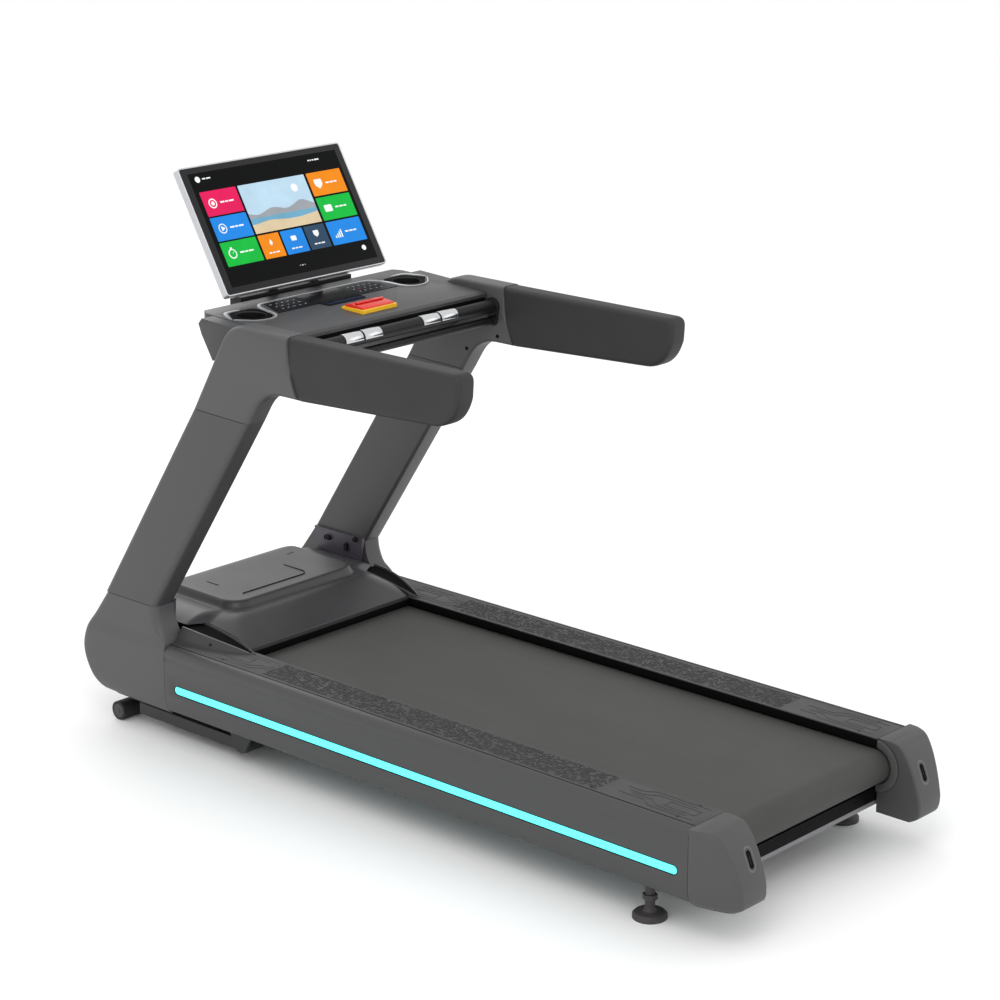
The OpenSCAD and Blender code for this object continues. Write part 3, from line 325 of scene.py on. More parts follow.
def light_strip():
    """Opal polycarbonate over LEDs: evenly lit, a little brighter over each LED, 16 mm apart."""
    made, tree, shader = material("opal_light_strip", "#66fffb", Roughness=0.35, Emission_Strength=0.75)
    where = add(tree, "ShaderNodeTexCoord").outputs["Object"]
    along = add(tree, "ShaderNodeTexWave", {"bands_direction": "Y", "Scale": 1 / (16 * MM) / WAVE_BANDS},
                {"Vector": where})
    lit = add(tree, "ShaderNodeMix", {"data_type": "RGBA", 6: colour("#57f2ee"), 7: colour("#5ff6f2")},
              {0: along.outputs["Fac"]})
    tree.links.new(lit.outputs[2], shader.inputs["Base Color"])
    tree.links.new(lit.outputs[2], shader.inputs["Emission Color"])
    return made


def front_glass():
    """Toughened glass over a black print: smooth, with faint smudges."""
    base = "#050607"
    made, tree, shader = material("front_glass", base, Roughness=0.1, Specular_IOR_Level=0.08)
    _, cloud, grain = surface_patterns(tree, 30.0)
    smudge = add(tree, "ShaderNodeMapRange", {"To Min": 0.12, "To Max": 0.26}, {"Value": grain})
    tone = add(tree, "ShaderNodeMapRange", {"To Min": 0.8, "To Max": 1.2}, {"Value": cloud})
    tinted = add(tree, "ShaderNodeVectorMath", {"operation": "SCALE", 0: colour(base)[:3]},
                 {"Scale": tone.outputs["Result"]})
    tree.links.new(smudge.outputs["Result"], shader.inputs["Roughness"])
    tree.links.new(tinted.outputs["Vector"], shader.inputs["Base Color"])
    return made


def overlay_print():
    """Printed polyester overlay on the keys: satin black."""
    return skin("printed_overlay", "#0b0c0e", 0.35, 0.8, 0.01, shade=0.1, edge_highlight_and_wear=0, Specular_IOR_Level=0.08)


def bezel_print():
    """Matt black print round the display."""
    return skin("bezel_print", "#1c1c1e", 0.45, 1.0, 0.01, shade=0.08, edge_highlight_and_wear=0, Specular_IOR_Level=0.25)


def signal_gloss(name, base):
    """Pigmented ABS with a gloss tool finish."""
    return skin(name, base, 0.3, 2.0, 0.01, shade=0.05, Coat_Weight=0.2)


def display_ink(name, base):
    """A lit area of the display. Its rows are too fine to show, so they are drawn 1.2 mm apart."""
    made, tree, shader = material(name, base, Roughness=0.3, Specular_IOR_Level=0.1, Emission_Strength=0.85)
    where = add(tree, "ShaderNodeTexCoord").outputs["Object"]
    rows = add(tree, "ShaderNodeTexWave", {"bands_direction": "X", "Scale": 1 / (1.2 * MM) / WAVE_BANDS},
               {"Vector": where})
    cloud = add(tree, "ShaderNodeTexNoise", {"Scale": 1 / (60 * MM)}, {"Vector": where})
    both = add(tree, "ShaderNodeMath", {"operation": "MULTIPLY_ADD", 1: 0.25},
               {0: rows.outputs["Fac"], 2: cloud.outputs["Fac"]})
    tone = add(tree, "ShaderNodeMapRange", {
        "From Min": 0.3, "From Max": 0.95, "To Min": 0.88, "To Max": 1.06}, {"Value": both.outputs[0]})
    lit = add(tree, "ShaderNodeVectorMath", {"operation": "SCALE", 0: colour(base)[:3]},
              {"Scale": tone.outputs["Result"]})
    dark = add(tree, "ShaderNodeVectorMath", {"operation": "SCALE", "Scale": 0.25},
               {0: lit.outputs["Vector"]})
    tree.links.new(dark.outputs["Vector"], shader.inputs["Base Color"])
    tree.links.new(lit.outputs["Vector"], shader.inputs["Emission Color"])
    return made


MAKERS = {
    "panel": panel_abs, "boot": boot_abs, "cap": cap_abs, "hood": hood_abs, "console": console_abs,
    "rail": rail_nylon, "black": black_abs, "groove": black_and_shade_abs, "upright": upright_coat,
    "frame": frame_coat, "crossbar": crossbar_coat, "grey_bar": grey_bar_coat, "bracket": bracket_coat,
    "motor": motor_coat,
    "steel": bare_steel, "roller": roller_steel, "pad": pad_steel, "silver": silver_lacquer,
    "controller": controller_casting, "rubber": rubber, "foot": foot_rubber, "screw": screw_oxide,
    "foam": foam_skin, "belt": belt_pvc, "deck": deck_board, "light": light_strip, "glass": front_glass,
    "overlay": overlay_print, "bezel": bezel_print, "hub": hub_nylon, "rim": rim_highlight_abs,
}
FINISH = {name: make() for name, make in MAKERS.items()}
for signal, code in {"yellow": "#f0b90f", "red": "#d8210f", "rocker": "#b01818"}.items():
    FINISH[signal] = signal_gloss(signal + "_abs", code)
INKS = {
    "white": "#f4f6f8", "pink": "#e0195a", "blue": "#1f86e0", "green": "#12b83f", "orange": "#f08a14",
    "slate": "#2f4a63", "sky": "#b9d6e8", "sand": "#d9c5a2", "sea": "#6fa8c4", "ridge": "#121519",
    "grey": "#9aa0a6", "navy": "#16284a",
}
for ink, code in INKS.items():
    FINISH[ink] = display_ink("display_" + ink, code)


# ---- Mesh helpers ----

def low(node):
    """Lowest corner of a CAD node."""
    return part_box(node)[0]


def high(node):
    """Highest corner of a CAD node."""
    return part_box(node)[1]


def piece(name, points, faces, finish):
    """New mesh object with its faces turned outwards."""
    data = bpy.data.meshes.new(name)
    data.from_pydata([tuple(p) for p in points], [], faces)
    made = bpy.data.objects.new(name, data)
    bpy.context.scene.collection.objects.link(made)
    data.materials.append(FINISH[finish])
    turn_outwards(data)
    return made


def loft_faces(size, count, closed=False):
    """Faces of a skin through loops of a size: capped at both ends, or joined last to first."""
    faces = [(k * size + i, k * size + (i + 1) % size,
              (k + 1) % count * size + (i + 1) % size, (k + 1) % count * size + i)
             for k in range(count if closed else count - 1) for i in range(size)]
    if not closed:
        faces += [tuple(range(size)), tuple(range((count - 1) * size, count * size))]
    return faces


def turn_outwards(data):
    """Merges doubles and points every face of a closed mesh outwards."""
    shape = bmesh.new()
    shape.from_mesh(data)
    bmesh.ops.remove_doubles(shape, verts=shape.verts, dist=0.004 * MM)
    bmesh.ops.recalc_face_normals(shape, faces=shape.faces)
    shape.to_mesh(data)
    shape.free()


def smooth(made, angle=35):
    """Smooth shading, with edges sharper than the angle kept sharp."""
    made.data.shade_smooth()
    made.data.set_sharp_from_angle(angle=math.radians(angle))
    return made


def settle(made, angle=35):
    """Applies the modifiers, so the piece is a plain smooth-shaded mesh."""
    graph = bpy.context.evaluated_depsgraph_get()
    data = bpy.data.meshes.new_from_object(made.evaluated_get(graph), depsgraph=graph)
    made.modifiers.clear()
    made.data = data
    return smooth(made, angle)


def soften(made, width, segments=3, angle=28):
    """Rounds the edges of a piece by a width in millimetres."""
    bevel = made.modifiers.new("round edges", "BEVEL")
    bevel.width = width * MM
    bevel.segments = segments
    bevel.limit_method = "ANGLE"
    bevel.angle_limit = math.radians(angle)
    bevel.use_clamp_overlap = True
    return settle(made)


def cut(made, cutter):
    """Takes the cutter's shape out of a piece."""
    hole = made.modifiers.new("cut", "BOOLEAN")
    hole.operation = "DIFFERENCE"
    hole.solver = "EXACT"
    hole.object = cutter
    settle(made)
    bpy.data.objects.remove(cutter)
    return made


def place(made, body, *nodes, slot=None):
    """Makes a finished piece ride on its body and stand for its CAD nodes."""
    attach(made, body)
    if nodes:
        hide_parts(*nodes)
    return made


def moulded(node, finish, width, body="frame", slot=None, segments=3):
    """Copy of a CAD node with its edges rounded, standing in for the node."""
    made = bpy.data.objects.new(node + "_shell", NODES[node].data.copy())
    bpy.context.scene.collection.objects.link(made)
    made.data.materials.clear()
    made.data.materials.append(FINISH[finish])
    shape = bmesh.new()
    shape.from_mesh(made.data)
    bmesh.ops.remove_doubles(shape, verts=shape.verts, dist=0.01 * MM)
    bmesh.ops.dissolve_limit(shape, angle_limit=math.radians(0.6), verts=shape.verts, edges=shape.edges)
    shape.to_mesh(made.data)
    shape.free()
    if "custom_normal" in made.data.attributes:
        made.data.attributes.remove(made.data.attributes["custom_normal"])
    soften(made, width, segments)
    return place(made, body, node, slot=slot)


def rounded(corners, steps=8):
    """Closed outline from corners given as (a, b, reach) in millimetres.

    Reach is how far back from the corner its curve begins, and 0 leaves the corner sharp.
    """
    made = []
    count = len(corners)
    for i, (a, b, reach) in enumerate(corners):
        corner = Vector((a, b))
        if reach == 0:
            made.append(corner * MM)
            continue
        before = (Vector(corners[i - 1][:2]) - corner).normalized() * reach + corner
        after = (Vector(corners[(i + 1) % count][:2]) - corner).normalized() * reach + corner
        for k in range(steps + 1):
            t = k / steps
            made.append(((1 - t) ** 2 * before + 2 * t * (1 - t) * corner + t ** 2 * after) * MM)
    return made


def inset(points, steps):
    """Anticlockwise outline with each edge moved inwards by its own step."""
    made = []
    count = len(points)
    for i in range(count):
        before = (points[i] - points[i - 1]).normalized()
        after = (points[(i + 1) % count] - points[i]).normalized()
        n0 = Vector((-before.y, before.x))
        n1 = Vector((-after.y, after.x))
        turn = n0.x * n1.y - n0.y * n1.x
        d0, d1 = steps[i - 1], steps[i]
        if abs(turn) < 0.12:
            shift = (n0 + n1).normalized() * (d0 + d1) / 2
        else:
            shift = Vector((d0 * n1.y - d1 * n0.y, n0.x * d1 - n1.x * d0)) / turn
        made.append(points[i] + shift)
    return made


def slab(name, outline, x0, x1, round0, round1, finish, joints=(), rings=7):
    """Closed solid across X with a side outline and long edges rounded by round0 and round1.

    The outline's edges near a line in joints stay square, so that two pieces meet at a fine seam.
    """
    count = len(outline)
    middles = [(outline[i] + outline[(i + 1) % count]) / 2 for i in range(count)]
    tight = [any(on_segment(m, a, b) for a, b in joints) for m in middles]
    stations = [(k, x0, round0) for k in range(rings)] + [(k, x1, -round1) for k in reversed(range(rings))]
    points = []
    for k, face_x, radius in stations:
        angle = math.pi / 2 * k / (rings - 1)
        back = 1 - math.sin(angle)
        x = face_x + radius * (1 - math.cos(angle))
        ring = inset(outline, [SEAM * back if t else abs(radius) * back for t in tight])
        points += [(x, p.x, p.y) for p in ring]
    return piece(name, points, loft_faces(count, 2 * rings), finish)


def on_segment(point, a, b):
    """True if a point lies within two and a half millimetres of the straight line between a and b."""
    along = b - a
    t = clamped((point - a).dot(along) / along.length_squared)
    return (a + along * t - point).length < 2.5 * MM


def box_piece(name, lowest, highest, finish):
    """Plain block, used as a cutter or the start of a shaped piece."""
    corners = [(x, y, z) for x in (lowest[0], highest[0]) for y in (lowest[1], highest[1])
               for z in (lowest[2], highest[2])]
    faces = [(0, 1, 3, 2), (4, 6, 7, 5), (0, 4, 5, 1), (2, 3, 7, 6), (0, 2, 6, 4), (1, 5, 7, 3)]
    return piece(name, corners, faces, finish)


def prism(name, outline, height, to_world, finish):
    """Plate with a flat outline, given thickness along its own Z and moved by a matrix."""
    points = [to_world @ Vector((p.x, p.y, z)) for z in (0, height) for p in outline]
    return piece(name, points, loft_faces(len(outline), 2), finish)


def corner_ring(x0, x1, y0, y1, radii, steps=7, along=6):
    """Plan of a rounded box; the radii go rear inner, front inner, front outer, rear outer."""
    ring = []
    ends = ((x0, y0, 1, 1), (x0, y1, 1, -1), (x1, y1, -1, -1), (x1, y0, -1, 1))
    for (x, y, in_x, in_y), start, radius in zip(ends, (270, 180, 90, 0), radii):
        for i in range(steps):
            angle = math.radians(start - 90 * i / (steps - 1))
            ring.append(Vector((x + in_x * radius + radius * math.cos(angle),
                                y + in_y * radius + radius * math.sin(angle))))
        if start == 90:
            tail, head = ring[-1], Vector((x1, y0 + radii[3]))
            ring += [tail.lerp(head, k / along) for k in range(1, along)]
    return ring


def stacked(name, rings, heights, finish, angle=42):
    """Closed solid through level plans, one for each height."""
    points = [(p.x, p.y, z) for ring, z in zip(rings, heights) for p in ring]
    return smooth(piece(name, points, loft_faces(len(rings[0]), len(rings)), finish), angle)


def level_heights(bottom, top, count):
    """Heights from bottom to top, closer together towards both ends."""
    return [bottom + (top - bottom) * (0.5 - 0.5 * math.cos(math.pi * k / count)) for k in range(count + 1)]


def clamped(value):
    """The value, kept from 0 to 1."""
    return max(0.0, min(1.0, value))


def step_up(value, width):
    """0 to 1 smoothly as value goes from 0 to width."""
    t = clamped(value / width)
    return t * t * (3 - 2 * t)


def along_curve(points, z):
    """Smooth curve through (height, value) points, read at a height."""
    last = len(points) - 1
    k = next((k for k in range(last) if z <= points[k + 1][0]), last - 1)
    before = points[max(k - 1, 0)]
    (z0, v0), (z1, v1) = points[k], points[k + 1]
    after = points[min(k + 2, last)]
    t = (z - z0) / (z1 - z0)
    m0 = (v1 - before[1]) / (z1 - before[0]) * (z1 - z0)
    m1 = (after[1] - v0) / (after[0] - z0) * (z1 - z0)
    return ((2 * t ** 3 - 3 * t ** 2 + 1) * v0 + (t ** 3 - 2 * t ** 2 + t) * m0
            + (3 * t ** 2 - 2 * t ** 3) * v1 + (t ** 3 - t ** 2) * m1)


def lathe(name, profile, to_world, finish, count=48):
    """Solid of revolution about its own Z from (radius, height) points in millimetres."""
    points = []
    for k in range(count):
        angle = 2 * math.pi * k / count
        points += [to_world @ Vector((radius * math.cos(angle), radius * math.sin(angle), height))
                   for radius, height in profile]
    return piece(name, points, loft_faces(len(profile), count, closed=True), finish)


def scaled(matrix):
    """The matrix, taking millimetres to metres first."""
    return matrix @ Matrix.Scale(MM, 4)


def joined(name, parts):
    """One piece out of several that share a body. Their finishes are kept."""
    bpy.ops.object.select_all(action="DESELECT")
    for part in parts:
        part.select_set(True)
    bpy.context.view_layer.objects.active = parts[0]
    bpy.ops.object.join()
    parts[0].name = name
    parts[0].data.name = name
    return parts[0]


def mirrored(made, name):
    """Copy of a piece on the other side of the machine."""
    other = bpy.data.objects.new(name, made.data.copy())
    bpy.context.scene.collection.objects.link(other)
    for vertex in other.data.vertices:
        vertex.co.x = -vertex.co.x
    turn_outwards(other.data)
    return smooth(other)


def both_sides(make):
    """Runs a maker of right-side pieces and returns {side: piece} with its mirror image."""
    right = make()
    base = right.name
    right.name = base + "_right"
    return {RIGHT: right, LEFT: mirrored(right, base + "_left")}


# ---- Geometry Nodes ----

def node_group(name, inputs):
    """Empty Geometry Nodes tree with named inputs: {name: (socket type, value)}."""
    tree = bpy.data.node_groups.new(name, "GeometryNodeTree")
    tree.interface.new_socket(name="Geometry", in_out="OUTPUT", socket_type="NodeSocketGeometry")
    tree.interface.new_socket(name="Places", in_out="INPUT", socket_type="NodeSocketGeometry")
    for label, (kind, value) in inputs.items():
        socket = tree.interface.new_socket(name=label, in_out="INPUT", socket_type=kind)
        if value is not None:
            socket.default_value = value
    return tree, add(tree, "NodeGroupInput").outputs


def finish_group(tree, instances, sizes):
    """Ends a tree: instances made real, then given their material."""
    real = add(tree, "GeometryNodeRealizeInstances", {}, {"Geometry": instances})
    painted = add(tree, "GeometryNodeSetMaterial", {},
                  {"Geometry": real.outputs[0], "Material": sizes["Material"]})
    add(tree, "NodeGroupOutput", {}, {"Geometry": painted.outputs[0]})
    return tree


def grown(name, tree, places, values):
    """Plain mesh that a tree makes on a set of points."""
    data = bpy.data.meshes.new(name)
    data.from_pydata([tuple(p) for p in places], [], [])
    host = bpy.data.objects.new(name, data)
    bpy.context.scene.collection.objects.link(host)
    modifier = host.modifiers.new("grow", "NODES")
    modifier.node_group = tree
    sockets = {s.name: s.identifier for s in tree.interface.items_tree if s.in_out == "INPUT"}
    for label, value in values.items():
        modifier[sockets[label]] = value
    settle(host)
    return host


def screw_head_tree():
    """Socket-head screws standing on points: a domed ring round a sunk hexagon."""
    tree, sizes = node_group("screw heads", {
        "Radius": ("NodeSocketFloat", 4 * MM), "Height": ("NodeSocketFloat", 1 * MM),
        "Turn": ("NodeSocketVector", (0.0, 0.0, 0.0)), "Material": ("NodeSocketMaterial", None)})
    half = add(tree, "ShaderNodeMath", {"operation": "MULTIPLY", 1: 0.42}, {0: sizes["Radius"]}).outputs[0]
    rim = add(tree, "ShaderNodeMath", {"operation": "MULTIPLY", 1: 0.68}, {0: sizes["Radius"]}).outputs[0]
    path = add(tree, "GeometryNodeCurvePrimitiveCircle", {"Resolution": 24}, {"Radius": rim})
    section = add(tree, "GeometryNodeCurvePrimitiveCircle", {"Resolution": 8}, {"Radius": half})
    ratio = add(tree, "ShaderNodeMath", {"operation": "DIVIDE"}, {0: sizes["Height"], 1: half}).outputs[0]
    flat = add(tree, "ShaderNodeCombineXYZ", {"X": 1.0, "Z": 1.0}, {"Y": ratio})
    squat = add(tree, "GeometryNodeTransform", {}, {"Geometry": section.outputs[0], "Scale": flat.outputs[0]})
    ring = add(tree, "GeometryNodeCurveToMesh", {},
               {"Curve": path.outputs[0], "Profile Curve": squat.outputs[0]})
    core = add(tree, "GeometryNodeMeshCylinder", {"Vertices": 6}, {"Radius": rim, "Depth": sizes["Height"]})
    head = add(tree, "GeometryNodeJoinGeometry")
    tree.links.new(core.outputs["Mesh"], head.inputs[0])
    tree.links.new(ring.outputs[0], head.inputs[0])
    turned = add(tree, "FunctionNodeEulerToRotation", {}, {0: sizes["Turn"]})
    points = add(tree, "GeometryNodeMeshToPoints", {}, {"Mesh": sizes["Places"]})
    stand = add(tree, "GeometryNodeInstanceOnPoints", {}, {
        "Points": points.outputs[0], "Instance": head.outputs[0], "Rotation": turned.outputs[0]})
    return finish_group(tree, stand.outputs[0], sizes)


def grip_tree():
    """Moulded grip: short raised bars on points, turned by eighths of a turn at random, some left out."""
    tree, sizes = node_group("rail grip", {
        "Length": ("NodeSocketFloat", 6 * MM), "Width": ("NodeSocketFloat", 1.8 * MM),
        "Height": ("NodeSocketFloat", 0.8 * MM), "Seed": ("NodeSocketInt", 7),
        "Fill": ("NodeSocketFloat", 0.8), "Material": ("NodeSocketMaterial", None)})
    keep = add(tree, "FunctionNodeRandomValue", {"data_type": "BOOLEAN"},
               {"Probability": sizes["Fill"], "Seed": sizes["Seed"]})
    turn = add(tree, "FunctionNodeRandomValue", {"data_type": "INT"}, {"Seed": sizes["Seed"]})
    # The node has one pair of limits for each data type, so the whole-number pair is found by identifier.
    limits = {socket.identifier: socket for socket in turn.inputs}
    limits["Min_002"].default_value = 0
    limits["Max_002"].default_value = 3
    step = add(tree, "ShaderNodeMath", {"operation": "MULTIPLY", 1: math.pi / 4}, {0: turn.outputs[2]})
    spin = add(tree, "ShaderNodeCombineXYZ", {}, {"Z": step.outputs[0]})
    turned = add(tree, "FunctionNodeEulerToRotation", {}, {0: spin.outputs[0]})
    size = add(tree, "ShaderNodeCombineXYZ", {},
               {"X": sizes["Length"], "Y": sizes["Width"], "Z": sizes["Height"]})
    bar = add(tree, "GeometryNodeMeshCube", {}, {"Size": size.outputs[0]})
    points = add(tree, "GeometryNodeMeshToPoints", {}, {"Mesh": sizes["Places"]})
    stand = add(tree, "GeometryNodeInstanceOnPoints", {}, {
        "Points": points.outputs[0], "Selection": keep.outputs[3], "Instance": bar.outputs["Mesh"],
        "Rotation": turned.outputs[0]})
    return finish_group(tree, stand.outputs[0], sizes)


def ribs_round_tree():
    """Ribs along a wheel: bars set round a circle in the YZ plane at each point."""
    tree, sizes = node_group("ribs round a wheel", {
        "Radius": ("NodeSocketFloat", 25 * MM), "Count": ("NodeSocketInt", 36),
        "Length": ("NodeSocketFloat", 60 * MM), "Thickness": ("NodeSocketFloat", 1.6 * MM),
        "Material": ("NodeSocketMaterial", None)})
    circle = add(tree, "GeometryNodeMeshCircle", {}, {"Vertices": sizes["Count"], "Radius": sizes["Radius"]})
    stood = add(tree, "GeometryNodeTransform", {"Rotation": (0, math.pi / 2, 0)},
                {"Geometry": circle.outputs[0]})
    size = add(tree, "ShaderNodeCombineXYZ", {}, {
        "X": sizes["Length"], "Y": sizes["Thickness"], "Z": sizes["Thickness"]})
    bar = add(tree, "GeometryNodeMeshCube", {}, {"Size": size.outputs[0]})
    where = add(tree, "GeometryNodeInputPosition")
    split = add(tree, "ShaderNodeSeparateXYZ", {}, {0: where.outputs[0]})
    angle = add(tree, "ShaderNodeMath", {"operation": "ARCTAN2"},
                {0: split.outputs["Z"], 1: split.outputs["Y"]})
    spin = add(tree, "ShaderNodeCombineXYZ", {}, {"X": angle.outputs[0]})
    turned = add(tree, "FunctionNodeEulerToRotation", {}, {0: spin.outputs[0]})
    spokes = add(tree, "GeometryNodeInstanceOnPoints", {}, {
        "Points": stood.outputs[0], "Instance": bar.outputs["Mesh"], "Rotation": turned.outputs[0]})
    points = add(tree, "GeometryNodeMeshToPoints", {}, {"Mesh": sizes["Places"]})
    stand = add(tree, "GeometryNodeInstanceOnPoints", {}, {
        "Points": points.outputs[0], "Instance": spokes.outputs[0]})
    return finish_group(tree, stand.outputs[0], sizes)


SCREWS = screw_head_tree()
GRIP = grip_tree()
RIBS = ribs_round_tree()


# ---- Frame and running gear: CAD pieces with their real finishes ----

BARE_NODES = {
    "frame": ["frame_rails", "rail_outriggers", "rail_brackets", "frame_crossmembers", "motor_mount",
              "lift_arm", "console_tube"],
    "crossbar": ["rear_crossbar"],
    "grey_bar": ["rear_lower_bar"],
    "deck": ["running_deck"],
    "rubber": ["deck_cushions", "drive_belt", "wheel_left", "wheel_right"],
    "belt": ["running_belt"],
    "roller": ["front_roller", "rear_roller"],
    "steel": ["roller_axles", "tension_bolts", "motor_pulley", "lift_screw"],
    "motor": ["drive_motor", "lift_motor"],
    "controller": ["controller_box"],
    "bracket": ["upright_brackets"],
    "foot": ["foot_left", "foot_right"],
    "overlay": ["key_panel"],
    "rocker": ["power_rocker"],
    "black": ["cup_liners"],
}


def paint(node, finish):
    """Gives a CAD node its finish through its own material slots."""
    target = NODES[node]
    if not target.data.materials:
        target.data.materials.append(FINISH[finish])
    for slot in target.material_slots:
        slot.material = FINISH[finish]


def paint_bare_nodes():
    """Paints the CAD pieces that show as they are."""
    for finish, nodes in BARE_NODES.items():
        for node in nodes:
            paint(node, finish)


# ---- Side covers ----

RAIL_Z = high("foot_rail_right").z
PANEL_X = high("side_panel_right").x
PANEL_Y = (low("side_panel_right").y, high("side_panel_right").y)
TUCK_Z = 132 * MM
TUCK_DEPTH = 45 * MM
TUCK_IN = 20 * MM


def tuck(z):
    """How far a side cover's skin pulls in at a height, low down where it curves under the machine."""
    t = clamped((TUCK_Z - z) / TUCK_DEPTH)
    return TUCK_IN * (1 - math.sqrt(1 - t * t))


def side_panel():
    """Long side cover: one skin with a rolled top edge, a soft crease and a tucked-in foot."""
    wall = 4 * MM
    base_z = low("side_panel_right").z
    roll = 22 * MM
    crease_z = 236 * MM
    crease = 1.2 * MM
    bends = 8
    outer = []
    for k in range(bends + 1):
        angle = math.pi / 2 * k / bends
        outer.append(Vector((PANEL_X - roll * (1 - math.sin(angle)), RAIL_Z - roll * (1 - math.cos(angle)))))
    outer += [Vector((PANEL_X, crease_z + 2 * MM)), Vector((PANEL_X - crease, crease_z - 1 * MM))]
    outer += [Vector((PANEL_X - crease * 0.2, crease_z - 14 * MM)), Vector((PANEL_X, crease_z - 30 * MM))]
    for k in range(bends + 1):
        z = TUCK_Z + (base_z - TUCK_Z) * k / bends
        outer.append(Vector((PANEL_X - tuck(z), z)))
    inner = [Vector((p.x - wall, min(p.y, RAIL_Z - wall))) for p in reversed(outer)]
    inner[-1].x = outer[0].x
    section = outer + inner
    points = [(p.x, y, p.y) for y in PANEL_Y for p in section]
    made = piece("side_cover", points, loft_faces(len(section), len(PANEL_Y)), "panel")
    cut(made, light_groove())
    return soften(made, 0.9, 2, 40)


def light_outline(grow):
    """Stadium outline of the light strip as (y, z), grown by a margin."""
    strip_low, strip_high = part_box("led_strips")
    half = (strip_high.z - strip_low.z) / 2
    centre_z = (strip_low.z + strip_high.z) / 2
    radius = half + grow
    outline = []
    for centre_y, start in ((strip_high.y - half, -90), (strip_low.y + half, 90)):
        for k in range(13):
            angle = math.radians(start + 180 * k / 12)
            outline.append(Vector((centre_y + radius * math.cos(angle), centre_z + radius * math.sin(angle))))
    return outline


def light_groove():
    """Cutter for the channel in the side panel's face that the light strip sits in."""
    depth = 7 * MM
    return prism("light_groove", light_outline(1.6 * MM), 2 * depth, across_x(PANEL_X - depth), "groove")


def across_x(x):
    """Matrix that takes a plate's own X, Y, Z to the machine's Y, Z, X, starting at x."""
    return Matrix.Translation((x, 0, 0)) @ Matrix(((0, 0, 1, 0), (1, 0, 0, 0), (0, 1, 0, 0), (0, 0, 0, 1)))


def light_loft(name, section, finish, closed=False):
    """Solid through outlines of the light strip, from (depth under the skin, growth) in millimetres."""
    rings = [light_outline(grow * MM) for _, grow in section]
    points = [(PANEL_X - depth * MM, p.x, p.y) for (depth, _), ring in zip(section, rings) for p in ring]
    return smooth(piece(name, points, loft_faces(len(rings[0]), len(rings), closed), finish))


def light_bezel():
    """Dark channel that holds the light strip, a rim showing round it."""
    section = [(4.4, 1.5), (0.5, 1.5), (0.2, 0.7), (0.5, -0.3), (1.2, -0.3), (4.4, -0.3)]
    return light_loft("light_channel", section, "groove", closed=True)


def light_lens():
    """Opal strip, its face slightly domed."""
    return light_loft("light_lens", [(3.0, -0.4), (1.6, -0.4), (0.9, -1.8), (0.6, -4.4)], "light")


def build_side_covers():
    """Side panels with their light strips and channels."""
    for side, made in both_sides(side_panel).items():
        place(made, "frame", "side_panel_" + SIDES[side], slot="panel_plastic")
    lenses = both_sides(light_lens)
    lens_pair = joined("light_lenses", [lenses[RIGHT], lenses[LEFT]])
    place(lens_pair, "frame", "led_strips", slot="light_strip")
    for made in both_sides(light_bezel).values():
        place(made, "frame", slot="panel_plastic")


# ---- Foot rails ----

RAIL_X = (low("foot_rail_right").x, high("foot_rail_right").x)
RAIL_Y = (low("foot_rail_right").y, high("foot_rail_right").y)
GRIP_PITCH = 7.0
FIGURE_ENDS = (0.17, 0.81)


def screw_places():
    """Middles of the foot rail screws, read from their CAD node."""
    tops = {}
    for vertex in NODES["rail_screws"].data.vertices:
        key = (round(vertex.co.x / (40 * MM)), round(vertex.co.y / (40 * MM)))
        tops.setdefault(key, []).append(vertex.co)
    return [Vector((sum(c.x for c in g) / len(g), sum(c.y for c in g) / len(g), RAIL_Z - 0.9 * MM))
            for g in tops.values()]


def grip_places(side):
    """Grid of points on the middle stretch of a foot rail, clear of the screws."""
    x0, x1 = RAIL_X[0] + 9 * MM, RAIL_X[1] - 11 * MM
    y0 = RAIL_Y[0] + (RAIL_Y[1] - RAIL_Y[0]) * FIGURE_ENDS[0]
    y1 = RAIL_Y[0] + (RAIL_Y[1] - RAIL_Y[0]) * FIGURE_ENDS[1]
    pitch = GRIP_PITCH * MM
    across = int((x1 - x0) / pitch)
    along = int((y1 - y0) / pitch)
    return [Vector((side * (x0 + (i + 0.5) * pitch), y0 + (j + 0.5) * pitch, RAIL_Z + 0.2 * MM))
            for i in range(across) for j in range(along)]


def line_figure(side, y_start, direction, name):
    """Raised line drawing near a rail's end: nested tracks that step sideways at 45 degrees."""
    x0 = RAIL_X[0] + 16 * MM
    width = RAIL_X[1] - RAIL_X[0] - 34 * MM
    tracks = [
        [(0.0, 0), (0.0, 150), (0.22, 172), (0.22, 215)],
        [(0.16, 30), (0.16, 132), (0.42, 158), (0.42, 200)],
        [(1.0, 0), (1.0, 118), (0.72, 146), (0.72, 215)],
        [(0.84, 24), (0.84, 104), (0.56, 132), (0.56, 185)],
        [(0.32, 8), (0.32, 92), (0.68, 92), (0.68, 8), (0.32, 8)],
    ]
    parts = []
    for track in tracks:
        path = [Vector((side * (x0 + share * width), y_start + direction * step * MM, 0))
                for share, step in track]
        for a, b in zip(path, path[1:]):
            parts.append(rib(a, b, 1.5 * MM, RAIL_Z - 0.2 * MM, RAIL_Z + 0.7 * MM, "rail"))
    return joined(name, parts)


def rib(a, b, width, z0, z1, finish):
    """Low bar from a to b with its ends carried half its width past them."""
    along = (b - a).normalized() * width / 2
    across = Vector((-along.y, along.x, 0))
    outline = [a - along - across, b + along - across, b + along + across, a - along + across]
    return prism("rib", outline, z1 - z0, Matrix.Translation((0, 0, z0)), finish)


